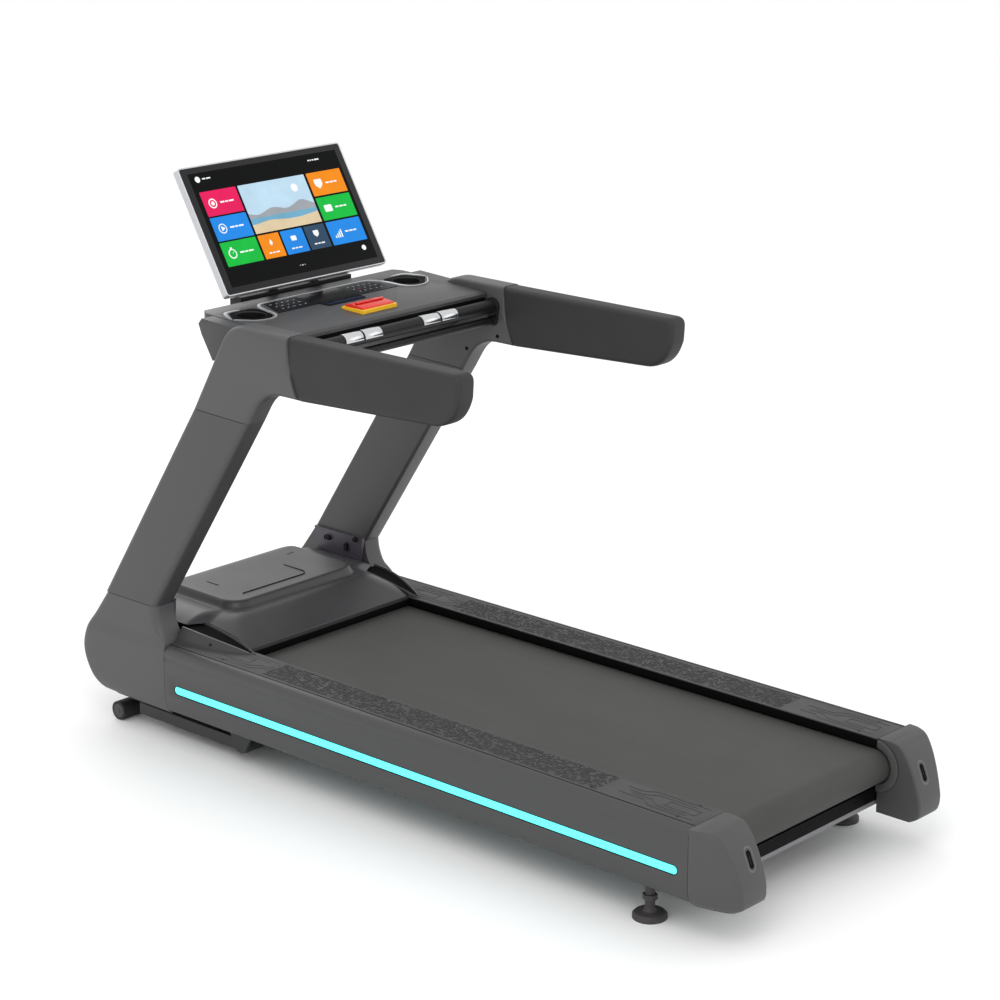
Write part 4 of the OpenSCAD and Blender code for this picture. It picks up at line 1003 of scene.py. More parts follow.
def rail_wall_shadow():
    """Painted shadow: a black strip on a foot rail's inner wall, down to the belt, where the wall lies in
    shade.
    """
    made = box_piece("rail_wall_shadow", (RAIL_X[0] - 0.9 * MM, RAIL_Y[0], high("running_belt").z + 1.2 * MM),
                     (RAIL_X[0] + 0.3 * MM, low("motor_hood").y - 2 * MM, RAIL_Z - 2.2 * MM), "groove")
    return soften(made, 0.3, 2)


def rail_seal():
    """Thin black seal between a foot rail and the side panel."""
    made = box_piece("rail_seal", (RAIL_X[1] - 0.7 * MM, RAIL_Y[0], RAIL_Z - 5 * MM),
                     (RAIL_X[1] + 1.3 * MM, RAIL_Y[1], RAIL_Z + 0.3 * MM), "groove")
    return soften(made, 0.3, 2)


def build_foot_rails():
    """Foot rails with the painted shadow strips on their inner walls, seals, grip, line figures and screws.
    """
    for maker in (rail_wall_shadow, rail_seal):
        for made in both_sides(maker).values():
            place(made, "frame", slot="rail_plastic")
    figures = (("rear", RAIL_Y[0] + 26 * MM, 1), ("front", RAIL_Y[1] - 150 * MM, -1))
    for side, label in SIDES.items():
        moulded("foot_rail_" + label, "rail", 1.6, slot="rail_plastic")
        grip = grown("foot_rail_grip_" + label, GRIP, grip_places(side), {
            "Length": 6.6 * MM, "Width": 2.0 * MM, "Height": 2.2 * MM, "Seed": 11 + side, "Fill": 0.82,
            "Material": FINISH["rail"]})
        place(grip, "frame", slot="rail_plastic")
        for end, y_start, direction in figures:
            figure = line_figure(side, y_start, direction, "foot_rail_lines_" + end + "_" + label)
            place(figure, "frame", slot="rail_plastic")
    heads = grown("rail_screw_heads", SCREWS, screw_places(), {
        "Radius": 4.3 * MM, "Height": 1.6 * MM, "Material": FINISH["screw"]})
    place(heads, "frame", "rail_screws", slot="screw_black")


# ---- Rear end ----

CAP_Y = (low("rear_cap_right").y, high("rear_cap_right").y)
CAP_X0 = low("rear_cap_right").x
BOLT_HEAD_RADIUS = 9 * MM
BOLT_X = high("tension_bolts").x - BOLT_HEAD_RADIUS
SLOT_Z = (RAIL_Z - 84 * MM, RAIL_Z - 52 * MM)
# Rear face of a cap: (height over the foot rail's top, how far it lies back) in millimetres.
CAP_PROFILE = ((-182, 26), (-169, 6), (-150, 0), (-133, 0), (-87, 13), (-43, 32), (-13, 52), (-3, 66),
               (0, 82))


def cap_rear(z):
    """Rear face of a rear cap at a height, as y."""
    return along_curve([(RAIL_Z + up * MM, CAP_Y[0] + back * MM) for up, back in CAP_PROFILE], z)


def rear_cap():
    """Rear corner cover: level plans that narrow towards the rear and tuck in low down."""
    heights = level_heights(low("rear_cap_right").z, RAIL_Z, 40)
    corners = (7 * MM, 0.8 * MM, 0.8 * MM, 15 * MM)
    narrowing = 34 * MM
    rings = []
    for z in heights:
        y0 = max(cap_rear(z), CAP_Y[0] + 0.2 * MM)
        ring = corner_ring(CAP_X0, PANEL_X, y0, CAP_Y[1] - 0.4 * MM, corners, 7, 10)
        for p in ring:
            back = max(0.0, (CAP_Y[1] - p.y) / (CAP_Y[1] - CAP_Y[0]))
            narrow = narrowing * back ** 1.7 + tuck(z)
            p.x -= narrow * (p.x - CAP_X0) / (PANEL_X - CAP_X0)
        rings.append(ring)
    return stacked("rear_cap_shell", rings, heights, "cap", 38)


def pill(half, z0, z1):
    """Upright pill outline round the tension bolt, as (x, z)."""
    outline = []
    for centre_z, start in ((z1 - half, 0), (z0 + half, 180)):
        for k in range(11):
            angle = math.radians(start + 18 * k)
            outline.append((BOLT_X + half * math.cos(angle), centre_z + half * math.sin(angle)))
    return outline


def on_cap_face(name, loops, finish):
    """Closed band through pill outlines that lie at their own distance in millimetres off a cap's face."""
    points = [(x, cap_rear(z) - out * MM, z) for outline, out in loops for x, z in outline]
    return smooth(piece(name, points, loft_faces(len(loops[0][0]), len(loops), closed=True), finish), 50)


def slot_rim():
    """Raised rim round the recess that holds the tension slot, pale with a painted highlight on its crest."""
    z0, z1 = SLOT_Z[0] - 11 * MM, SLOT_Z[1] + 11 * MM
    outer = pill(14 * MM, z0, z1)
    crest = pill(12.4 * MM, z0 + 1.6 * MM, z1 - 1.6 * MM)
    inner = pill(10.5 * MM, z0 + 3.5 * MM, z1 - 3.5 * MM)
    loops = [(outer, -1), (outer, 0.1), (crest, 1.1), (inner, 0.1), (inner, -1)]
    return on_cap_face("slot_rim", loops, "rim")


def slot_mouth():
    """Near-black mouth of the tension slot, with a lead-in round it: painted shade in the opening."""
    outline = pill(6.6 * MM, SLOT_Z[0] - 3 * MM, SLOT_Z[1] + 3 * MM)
    centre = pill(0.4 * MM, SLOT_Z[0] + 4 * MM, SLOT_Z[1] - 4 * MM)
    loops = [(centre, -1.5), (outline, -1.5), (outline, 0.5), (centre, 0.35)]
    return on_cap_face("slot_mouth", loops, "groove")


def build_rear_end():
    """Rear caps with their tension slots, and the guards round the roller's ends."""
    for side, made in both_sides(rear_cap).items():
        place(made, "frame", "rear_cap_" + SIDES[side], slot="cap_plastic")
    for maker in (slot_rim, slot_mouth):
        for made in both_sides(maker).values():
            place(made, "frame", slot="cap_plastic")
    moulded("roller_guards", "cap", 1.6, slot="cap_plastic")


# ---- Mast: boots, uprights, corner caps, armrests ----

UPRIGHT_X = (low("upright_right").x, high("upright_right").x)
UPRIGHT_DEPTH = 196 * MM
INNER_EDGE = 9 * MM
OUTER_EDGE = 17 * MM
FOOT_Z = low("upright_right").z
HEAD_Z = low("corner_cap_right").z + 6 * MM
MAST_FRONT = high("upright_right").y
HEAD_FRONT = high("corner_cap_right").y
SEAM_Y = high("armrest_right").y
ARM_TOP = high("armrest_right").z
ARM_END = low("armrest_right").y
ARM_X = (low("armrest_right").x, high("armrest_right").x)
BOOT_TOE = high("boot_right").y - 0.8 * MM
# Toe of a boot: (height over the boot's foot, how far it lies back) in millimetres.
TOE_PROFILE = ((0, 101), (9, 62), (36, 31), (78, 6), (118, 0), (173, 20), (217, 54), (277, 100))
# Screws in a corner cap: (from its front, over the upright's head) in millimetres.
ELBOW_SCREWS = ((-212, 50), (-318, 98))


def upright():
    """Leaning post: flat aluminium box section with a broad outer radius."""
    foot = [Vector((MAST_FRONT - UPRIGHT_DEPTH, FOOT_Z)), Vector((MAST_FRONT, FOOT_Z))]
    head = [Vector((HEAD_FRONT, HEAD_Z)), Vector((HEAD_FRONT - UPRIGHT_DEPTH, HEAD_Z - 6 * MM))]
    made = slab("upright_post", foot + head, *UPRIGHT_X, INNER_EDGE, OUTER_EDGE, "upright",
                [tuple(foot), tuple(head)], 8)
    return smooth(made, 40)


def corner_cap():
    """Elbow cover between an upright and an armrest, with a long outer sweep and a tight inner bend."""
    y, z = HEAD_FRONT / MM, HEAD_Z / MM
    corners = [
        (0, 0, 0), (-80, 136, 48), (-132, 229, 54), (-336, 228, 0), (-344, 140, 30), (-368, 80, 0),
        (-250, 80, 60), (-196, -6, 0)]
    outline = rounded([(y + a, z + b, reach) for a, b, reach in corners], 9)
    edge = [Vector((y + a, z + b)) * MM for a, b, _ in corners]
    joints = [(edge[7], edge[0]), (edge[3], edge[3].lerp(edge[4], 0.66)), (edge[4], edge[5])]
    made = slab("elbow_cover", outline, *UPRIGHT_X, INNER_EDGE, OUTER_EDGE, "boot", joints, 8)
    return smooth(made, 40)


def armrest():
    """Foam armrest: a thick pad on edge with a full round nose, swollen slightly between its edges."""
    seam, end, top = (SEAM_Y - 1 * MM) / MM, ARM_END / MM, ARM_TOP / MM
    corners = [
        (seam - 33, top - 150, 0), (seam - 24, top - 128, 8), (seam - 7, top - 88, 12), (seam, top - 1, 0),
        (end, top - 1, 26), (end + 5, top - 62, 8), (end + 32, top - 128, 56)]
    outline = rounded(corners, 10)
    edge = [Vector(c[:2]) * MM for c in corners[:4]]
    joints = list(zip(edge, edge[1:]))
    made = slab("armrest_pad", outline, *ARM_X, 13 * MM, 15 * MM, "foam", joints, 9)
    middle = sum(ARM_X) / 2
    foot = low("armrest_right").z
    full = 1.5 * MM
    for vertex in made.data.vertices:
        swell = full * math.sin(math.pi * clamped((vertex.co.z - foot) / (ARM_TOP - foot)))
        vertex.co.x += math.copysign(swell, vertex.co.x - middle) - full * (vertex.co.x > middle)
    return smooth(made, 40)


def boot_reach(z):
    """Rear and front of a boot at a height, as y: a soft flare onto the foot rail and a bulging toe."""
    rear = PANEL_Y[1] + 1 * MM
    back = MAST_FRONT - UPRIGHT_DEPTH
    flare = clamped((FOOT_Z - z) / (FOOT_Z - RAIL_Z - 6 * MM))
    foot = low("boot_right").z
    toe = along_curve([(foot + up * MM, BOOT_TOE - behind * MM) for up, behind in TOE_PROFILE], z)
    return back + (rear - back) * flare ** 2.2, toe


def boot():
    """Front boot: one swept cover from the floor side up to the upright, its toe rounded all over."""
    heights = level_heights(low("boot_right").z, FOOT_Z - 0.6 * MM, 44)
    x0 = low("boot_right").x
    rings = []
    for z in heights:
        y0, y1 = boot_reach(z)
        lean_in = 6 * MM * step_up(z - RAIL_Z + 24 * MM, 40 * MM)
        x1 = PANEL_X - max(tuck(z), lean_in)
        back = 1 * MM + 21 * MM * step_up(z - RAIL_Z - 2 * MM, 26 * MM)
        rings.append(corner_ring(x0, x1, y0, y1, (0.6 * MM, 4 * MM, 26 * MM, back)))
    return stacked("boot_shell", rings, heights, "boot")


def build_mast():
    """Boots, uprights, corner caps and armrests with their screws."""
    for side, made in both_sides(boot).items():
        place(made, "frame", "boot_" + SIDES[side], slot="boot_plastic")
    for side, made in both_sides(upright).items():
        place(made, "frame", "upright_" + SIDES[side], slot="upright_paint")
    for side, made in both_sides(corner_cap).items():
        place(made, "frame", "corner_cap_" + SIDES[side], slot="boot_plastic")
    for side, made in both_sides(armrest).items():
        place(made, "frame", "armrest_" + SIDES[side], slot="armrest_foam")
    bolts = [wall_screws("bracket_bolt_heads", side, bolt_places(side), 7, 4, "screw") for side in SIDES]
    place(joined("bracket_bolt_heads", bolts), "frame", "bracket_bolts", slot="screw_black")
    for side in SIDES:
        x = side * (UPRIGHT_X[0] - 0.2 * MM)
        places = [Vector((x, HEAD_FRONT + back * MM, HEAD_Z + up * MM)) for back, up in ELBOW_SCREWS]
        # These black screw heads take the near-black groove finish, darkened past the screw finish as painted
        # shade of the holes they sit in.
        place(wall_screws("elbow_screws", side, places, 4.5, 1.4, "groove"), "frame", slot="screw_black")


def wall_screws(name, side, places, radius, height, finish):
    """Screws whose heads point inwards from one side's wall, sized in millimetres."""
    return grown(name + "_" + SIDES[side], SCREWS, places, {
        "Radius": radius * MM, "Height": height * MM, "Turn": (0.0, -side * math.pi / 2, 0.0),
        "Material": FINISH[finish]})


def bolt_places(side):
    """Middles of one bracket's bolt heads, read from their CAD node."""
    heads = {}
    for vertex in NODES["bracket_bolts"].data.vertices:
        if vertex.co.x * side > 0:
            key = (round(vertex.co.y / (40 * MM)), round(vertex.co.z / (60 * MM)))
            heads.setdefault(key, []).append(vertex.co)
    return [Vector((side * min(abs(c.x) for c in g), sum(c.y for c in g) / len(g),
                    sum(c.z for c in g) / len(g))) for g in heads.values()]


# ---- Motor hood and its horns ----

HOOD_LOW, HOOD_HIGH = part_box("motor_hood")
HOOD_HALF = HOOD_HIGH.x
LID_RISE = 21 * MM
HOOD_TOP = HOOD_HIGH.z - LID_RISE
NECK_HALF = RAIL_X[0] - 1 * MM
HORN_Y = (low("hood_horns").y, high("hood_horns").y + 4 * MM)
HORN_STEPS = 30
HORN_RISE = 35 * MM


def smooth_least(a, b, blend):
    """The lower of two heights, with a rounded change from one to the other."""
    h = clamped(0.5 + 0.5 * (b - a) / blend)
    return b + (a - b) * h - blend * h * (1 - h)


def hood_profile():
    """Side profile of the hood as (y, z), from the belt's end over the top to its foot in front."""
    y0, y1 = HOOD_LOW.y / MM, HOOD_HIGH.y / MM
    top, base = HOOD_TOP / MM, HOOD_LOW.z / MM
    rail = RAIL_Z / MM
    corners = [
        (y0, rail - 10, 0), (y0 + 1, rail + 3, 2), (y0 + 98, top - 3, 14), (y1 - 91, top, 30),
        (y1 - 18, rail - 14, 40), (y1, rail - 106, 30), (y1 - 26, base + 2, 14), (y1 - 94, base, 0)]
    path = rounded(corners, 9)
    dense = []
    for a, b in zip(path, path[1:]):
        parts = max(1, int((b - a).length / (4 * MM)))
        dense += [a.lerp(b, k / parts) for k in range(parts)]
    return dense + [path[-1]]


def hood_half_width(y):
    """Half width of the hood: narrow between the foot rails, wide in front of them."""
    return NECK_HALF + (HOOD_HALF - NECK_HALF) * step_up(y - HORN_Y[1] + 34 * MM, 38 * MM)


def horn_rise(y):
    """Height of a horn's rim over the foot rail at a place along the machine."""
    return HORN_RISE * (1 - clamped((HORN_Y[1] - y) / (HORN_Y[1] - HORN_Y[0])) ** 1.7)


def horn_y(t):
    """Place along a horn as y, from its root at 0 to its tip at 1."""
    return HORN_Y[1] + (HORN_Y[0] - HORN_Y[1]) * t


def rounded_box_distance(x, y, half_x, y0, y1, radius):
    """Distance outside a rounded rectangle, negative inside it."""
    dx = abs(x) - (half_x - radius)
    dy = abs(y - (y0 + y1) / 2) - ((y1 - y0) / 2 - radius)
    outside = math.hypot(max(dx, 0), max(dy, 0))
    return outside + min(max(dx, dy), 0) - radius


def hood_height(x, y, z):
    """Hood's surface: the side profile with sloped shoulders, and the lid that stands on it."""
    half = hood_half_width(y)
    shoulder = RAIL_Z + horn_rise(y) + 2 * MM + (half - abs(x)) * 0.5
    z = smooth_least(z, shoulder, 16 * MM)
    lid = rounded_box_distance(x, y, 214 * MM, HOOD_LOW.y + 128 * MM, HOOD_HIGH.y - 88 * MM, 46 * MM)
    return z + LID_RISE * (1 - step_up(lid + 2 * MM, 19 * MM))


def motor_hood():
    """One moulded shell over the motor, drawn as a fine grid and given its wall."""
    profile = hood_profile()
    across = 150
    points = []
    for p in profile:
        half = hood_half_width(p.x)
        for i in range(across + 1):
            x = half * (2 * i / across - 1)
            points.append((x, p.x, hood_height(x, p.x, p.y)))
    size = across + 1
    faces = [(r * size + i, r * size + i + 1, (r + 1) * size + i + 1, (r + 1) * size + i)
             for r in range(len(profile) - 1) for i in range(across)]
    data = bpy.data.meshes.new("motor_hood_shell")
    data.from_pydata(points, [], faces)
    made = bpy.data.objects.new("motor_hood_shell", data)
    bpy.context.scene.collection.objects.link(made)
    data.materials.append(FINISH["hood"])
    if data.polygons[len(faces) // 3].normal.z < 0:
        data.flip_normals()
    wall = made.modifiers.new("wall", "SOLIDIFY")
    wall.thickness = 3 * MM
    wall.offset = -1
    return settle(made, 50)


def lid_line(name, path):
    """Fine dark parting line on the lid along a path of (x, y from the hood's rear edge) in millimetres."""
    points = [Vector((x, HOOD_LOW.y / MM + y, 0)) * MM for x, y in path]
    parts = [rib(a, b, 1.3 * MM, HOOD_TOP + LID_RISE - 3 * MM, HOOD_TOP + LID_RISE + 0.12 * MM, "black")
             for a, b in zip(points, points[1:])]
    return joined(name, parts)


def lid_grooves():
    """A bent handle line, a short cross line and a small slot in the lid."""
    corner = 22
    quarter = [math.pi / 8 * k for k in range(1, 5)]
    bend = [(-150, 168), (60, 168)]
    bend += [(60 + corner * math.sin(a), 168 + corner * (1 - math.cos(a))) for a in quarter]
    bend += [(60 + corner, 262)]
    return joined("lid_grooves", [lid_line("bend", bend), lid_line("cross", [(-150, 262), (-150, 306)]),
                                  lid_line("slot", [(150, 320), (172, 320)])])


def belt_gap_strip():
    """Black lip seal along the hood's edge, just over the belt."""
    y0 = HOOD_LOW.y
    made = box_piece("hood_lip", (-NECK_HALF, y0 - 3 * MM, high("running_belt").z + 1.2 * MM),
                     (NECK_HALF, y0 + 6 * MM, RAIL_Z - 7 * MM), "groove")
    return soften(made, 1.2)


def horn_section(t):
    """Cross-section of a horn as (x, z): its inner foot, two rims with a channel, and its outer foot."""
    rise = horn_rise(horn_y(t)) + 1.5 * MM
    inner = NECK_HALF + 1.4 * MM + 8 * MM * t ** 6
    rim = inner + 9 * MM + 52 * MM * (1 - t ** 2.1)
    foot = rim + 3 * MM + 34 * MM * (1 - t ** 1.4)
    sink = min(5 * MM, rise * 0.4)
    top = RAIL_Z + rise
    return [
        (inner, RAIL_Z - 0.4 * MM), (inner, top - 1 * MM), (inner + 1.2 * MM, top), (inner + 4 * MM, top),
        (inner + 5.5 * MM, top - sink), (rim - 3.5 * MM, top - sink - 1 * MM), (rim - 2 * MM, top - 1 * MM),
        (rim, top - 0.6 * MM), (rim + 1.6 * MM, top - 2.4 * MM),
        (rim + (foot - rim) * 0.35, RAIL_Z + rise * 0.42), (rim + (foot - rim) * 0.7, RAIL_Z + rise * 0.14),
        (foot, RAIL_Z - 0.4 * MM)]


def along_horn(name, section, start, end, finish):
    """Solid with a cross-section that follows a horn between two shares of its length."""
    shares = [start + (end - start) * k / HORN_STEPS for k in range(HORN_STEPS + 1)]
    points = [(x, horn_y(t), z) for t in shares for x, z in section(t)]
    return smooth(piece(name, points, loft_faces(len(section(start)), len(shares)), finish), 50)


def hood_horn():
    """Fairing that runs from the hood's shoulder down along the foot rail to a point by the belt."""
    return along_horn("hood_horn", horn_section, 0, 1, "hood")


def channel_shade_section(t):
    """Cross-section of a thin strip on the floor of a horn's channel."""
    inner, outer = horn_section(t)[4:6]
    up = 0.5 * MM
    return [(inner[0], inner[1] - up), (inner[0], inner[1] + up), (outer[0], outer[1] + up),
            (outer[0], outer[1] - up)]


def horn_channel_shade():
    """Near-black strip on the floor of the channel between a horn's two rims: painted shade in the channel.
    """
    return along_horn("horn_channel_shade", channel_shade_section, 0.005, 0.955, "groove")


def rim_section(t):
    """Cross-section of a low bead on a horn's outer rim."""
    x, z = horn_section(t)[7]
    return [(x + a * MM, z + b * MM) for a, b in ((-1.4, -0.8), (1.4, -1.2), (0.9, 0.5), (-0.9, 0.7))]


def horn_rim():
    """Thin pale bead along a horn's outer rim: a painted highlight on its crest."""
    return along_horn("horn_rim", rim_section, 0.02, 0.95, "rim")


def horn_screw(side):
    """Screw in a horn's outer wall."""
    t = 0.48
    wall_x, wall_z = horn_section(t)[9]
    return grown("horn_screw_" + SIDES[side], SCREWS, [Vector((side * wall_x, horn_y(t), wall_z))], {
        "Radius": 3.6 * MM, "Height": 2.4 * MM, "Turn": (0.0, side * math.radians(40), 0.0),
        "Material": FINISH["screw"]})


def build_hood():
    """Motor hood with its lid lines and lip, and the horns with their channels, rims and screws."""
    place(motor_hood(), "frame", "motor_hood", slot="hood_plastic")
    place(lid_grooves(), "frame", slot="hood_plastic")
    place(belt_gap_strip(), "frame", slot="hood_plastic")
    horns = both_sides(hood_horn)
    place(joined("hood_horn_pair", [horns[RIGHT], horns[LEFT]]), "frame", "hood_horns", slot="hood_plastic")
    for maker in (horn_channel_shade, horn_rim):
        for made in both_sides(maker).values():
            place(made, "frame", slot="hood_plastic")
    for side in SIDES:
        place(horn_screw(side), "frame", slot="screw_black")


# ---- Console ----

CONSOLE_LOW, CONSOLE_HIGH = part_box("console_body")
SLOPE = math.radians(2.5)
CUP_RADIUS = 38
CUP_X = high("cup_liners").x - CUP_RADIUS * MM
CUP_Y = (low("cup_liners").y + high("cup_liners").y) / 2
CONSOLE_EDGE = Vector((0, CONSOLE_HIGH.y, CONSOLE_HIGH.z + 0.7 * MM))
ON_CONSOLE = Matrix.Translation(CONSOLE_EDGE) @ Matrix.Rotation(SLOPE, 4, "X")
# Key symbols about their own middles: a bar, an arrow and a square.
SYMBOLS = (
    [(-4, -0.7, 0), (4, -0.7, 0), (4, 0.7, 0), (-4, 0.7, 0)],
    [(-2.4, 2, 0), (2.4, 2, 0), (0, -2, 0)],
    [(-1.8, -1.8, 1), (1.8, -1.8, 1), (1.8, 1.8, 1), (-1.8, 1.8, 1)],
)


def console_plate(name, corners, height, finish, steps=8):
    """Thin plate on the console's top from (x, back, reach) corners, back being off the front edge."""
    outline = rounded([(x, -back, reach) for x, back, reach in corners], steps)
    return prism(name, outline, height * MM, ON_CONSOLE, finish)


def pocket_corners(side):
    """Outline of the dark pocket round a cup, with a pointed outer end."""
    corners = [(331, 126, 8), (300, 76, 14), (226, 76, 12), (218, 96, 10), (226, 152, 14), (244, 170, 12),
               (286, 168, 14)]
    return [(side * x, back, reach) for x, back, reach in corners]


def pocket(side):
    """Dark pocket round a cup, open over the cup."""
    made = console_plate("pocket_" + SIDES[side], pocket_corners(side), 0.9, "groove")
    drill = lathe("drill", [(0.01, -20), (CUP_RADIUS, -20), (CUP_RADIUS, 20), (0.01, 20)],
                  scaled(Matrix.Translation((side * CUP_X, CUP_Y, CONSOLE_HIGH.z))), "black")
    return cut(made, drill)


def ribbon(name, path, height, finish):
    """Flat strip along (x, back, width) points, bent smoothly through them."""
    dense = []
    for k in range(len(path) - 1):
        ends = [Vector(path[max(0, min(len(path) - 1, k + i))]) for i in (-1, 0, 1, 2)]
        for step in range(8):
            t = step / 8
            dense.append(0.5 * (2 * ends[1] + (ends[2] - ends[0]) * t
                                + (2 * ends[0] - 5 * ends[1] + 4 * ends[2] - ends[3]) * t ** 2
                                + (3 * ends[1] - ends[0] - 3 * ends[2] + ends[3]) * t ** 3))
    dense.append(Vector(path[-1]))
    left, right = [], []
    for k, p in enumerate(dense):
        ahead = dense[min(k + 1, len(dense) - 1)] - dense[max(k - 1, 0)]
        across = Vector((-ahead.y, ahead.x)).normalized() * max(p.z, 0.6) / 2
        left.append(Vector((p.x, -p.y)) * MM + Vector((across.x, -across.y)) * MM)
        right.append(Vector((p.x, -p.y)) * MM - Vector((across.x, -across.y)) * MM)
    size = len(dense)
    outline = left + right
    points = [ON_CONSOLE @ Vector((p.x, p.y, z)) for z in (0, height * MM) for p in outline]
    faces = []
    for k in range(size - 1):
        faces.append((k, k + 1, size + k + 1, size + k))
        faces.append((2 * size + k, 2 * size + k + 1, 3 * size + k + 1, 3 * size + k))
        faces.append((k, k + 1, 2 * size + k + 1, 2 * size + k))
        faces.append((size + k, size + k + 1, 3 * size + k + 1, 3 * size + k))
    faces += [(0, size, 3 * size, 2 * size), (size - 1, 2 * size - 1, 4 * size - 1, 3 * size - 1)]
    return smooth(piece(name, points, faces, finish))


def console_trim():
    """Bright trim: thin along each pocket, wide where it climbs to the key area, thin beyond the keys."""
    half = [(333, 130, 2.5), (290, 172, 3), (243, 175, 4), (220, 152, 8), (212, 104, 11), (196, 70, 8),
            (160, 58, 3.5)]
    path = [(-x, back, width) for x, back, width in half] + [(0, 57, 3)] + half[::-1]
    parts = [ribbon("trim", path, 2.0, "silver")]
    for side in SIDES:
        corner = [(side * 262, 71, 2.5), (side * 304, 71, 8), (side * 324, 96, 9), (side * 335, 124, 3)]
        parts.append(ribbon("trim_corner", corner, 2.0, "silver"))
    return joined("console_trims", parts)


def key_symbols(side):
    """Light key symbols on a key area, in three rows of five; the grey ones take the display's glowing ink,
    so their glow is painted light.
    """
    parts = []
    for row in range(3):
        for column in range(5):
            x = side * 132 + (column - 2) * 19
            back = 84 + row * 22
            corners = [(x + a, back + b, reach) for a, b, reach in SYMBOLS[(row * 2 + column) % 3]]
            ink = "red" if side == RIGHT and (row, column) == (1, 1) else "grey"
            parts.append(console_plate("symbol", corners, 1.7, ink))
    return joined("key_symbols_" + SIDES[side], parts)


def centre_window():
    """Dark glossy window between the key areas, with a navy strip along its runner's edge."""
    window = console_plate("window", [(-72, 64, 3), (72, 64, 3), (66, 176, 3), (-66, 176, 3)], 1.5, "glass")
    strip = console_plate("strip", [(-60, 166, 1), (60, 166, 1), (59, 172, 1), (-59, 172, 1)], 1.7, "navy")
    return joined("centre_window", [window, strip])


def stop_ridge():
    """Grip ridge across the stop button."""
    base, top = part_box("stop_button")
    middle = (base + top) / 2
    made = box_piece("stop_ridge", (base.x + 7 * MM, middle.y - 5 * MM, top.z - 2.6 * MM),
                     (top.x - 7 * MM, middle.y + 5 * MM, top.z + 2.2 * MM), "red")
    return soften(made, 2.0, 3)


def lip_recess_shade():
    """Near-black plate under the console's lip, on the runner's side: painted shade in the recess there."""
    edge = [v.co.z for v in NODES["console_body"].data.vertices if v.co.y < CONSOLE_LOW.y + 1 * MM]
    half = UPRIGHT_X[0] - 8 * MM
    made = box_piece("lip_recess_shade", (-half, CONSOLE_LOW.y - 0.8 * MM, min(edge) + 2 * MM),
                     (half, CONSOLE_LOW.y + 1 * MM, max(edge) - 8 * MM), "groove")
    return soften(made, 0.5, 2)


def build_console():
    """Console with its pockets, trim and keys, the stop button and the pulse bar."""
    place(lip_recess_shade(), "frame", slot="console_plastic")
    moulded("console_body", "console", 2.4, slot="console_plastic")
    moulded("stop_housing", "yellow", 1.0, slot="stop_yellow")
    moulded("stop_button", "red", 2.0, "stop_button", slot="stop_red", segments=4)
    place(stop_ridge(), "stop_button", slot="stop_red")
    moulded("pulse_bar", "black", 2.0, slot="pulse_bar_plastic", segments=4)
    moulded("pulse_pads", "pad", 0.5, slot="pad_steel", segments=2)
    place(console_trim(), "frame", "console_trim", slot="trim_chrome")
    place(centre_window(), "frame", slot="panel_gloss")
    for side in SIDES:
        place(pocket(side), "frame", slot="liner_plastic")
        place(key_symbols(side), "frame", slot="panel_gloss")


# ---- Screen ----

SCREEN_LEAN = math.radians(30.5)
GLASS_MARGIN = 4.2 * MM
GLASS_THICK = 3 * MM


def on_screen():
    """Matrix to the screen's own axes: X across, Y up the face, Z out of it, from its bottom edge."""
    turn = Matrix.Rotation(math.pi / 2 - SCREEN_LEAN, 4, "X")
    face_edge = turn @ Vector((0, GLASS_MARGIN, 0))
    back_edge = turn @ Vector((0, GLASS_MARGIN, -GLASS_THICK))
    corner = low("screen_glass")
    return Matrix.Translation((0, corner.y - face_edge.y, corner.z - back_edge.z)) @ turn


SCREEN_PLANE = on_screen()
# Lowest and highest face of each layer over the glass, in millimetres.
ON_GLASS = (0.12, 0.28)
ON_TILE = (0.30, 0.42)


def screen_plate(name, corners, z0, z1, finish):
    """Plate on the screen from (x, up, reach) corners, between two heights over the glass."""
    lifted = SCREEN_PLANE @ Matrix.Translation((0, 0, z0 * MM))
    return prism(name, rounded(corners, 6), (z1 - z0) * MM, lifted, finish)


def tile_corners(x0, x1, u0, u1, reach=2):
    """Corners of an upright rectangle."""
    return [(x0, u0, reach), (x1, u0, reach), (x1, u1, reach), (x0, u1, reach)]


def ring_corners(x, u, radius, count=20):
    """Round outline as plain corners."""
    turns = [2 * math.pi * k / count for k in range(count)]
    return [(x + radius * math.cos(a), u + radius * math.sin(a), 0) for a in turns]


# Tiles as (ink, left, right, bottom, top), and their pictograms as (kind, x, up).
TILES = (
    ("pink", -236, -118, 205, 270), ("blue", -236, -118, 139, 201), ("green", -236, -118, 72, 135),
    ("orange", 122, 240, 207, 270), ("green", 122, 240, 140, 202), ("blue", 122, 240, 72, 135),
    ("orange", -111, -42, 72, 135), ("blue", -36, 39, 72, 135), ("slate", 45, 114, 72, 135),
)
BIG_ICONS = (("dial", -207, 237), ("play", -207, 170), ("watch", -207, 103), ("shield", 152, 238),
             ("card", 152, 171), ("bars", 152, 103))
SMALL_ICONS = (("flame", -76, 112), ("card", 1, 112), ("shield", 79, 112))


def icon_plate(corners, ink="white", top=ON_TILE[1]):
    """Flat part of a pictogram, just over its tile."""
    bottom = ON_TILE[0] if ink == "white" else 0.35
    return screen_plate("icon", corners, bottom, top, ink)


def icon_disc(x, u, radius, ink="white", top=ON_TILE[1]):
    """Round part of a pictogram."""
    return icon_plate(ring_corners(x, u, radius), ink, top)


def dial_icon(x, u, size):
    """Two rings, one in the other."""
    return [icon_disc(x, u, size), icon_disc(x, u, size * 0.74, "pink", 0.5),
            icon_disc(x, u, size * 0.42, "white", 0.58)]


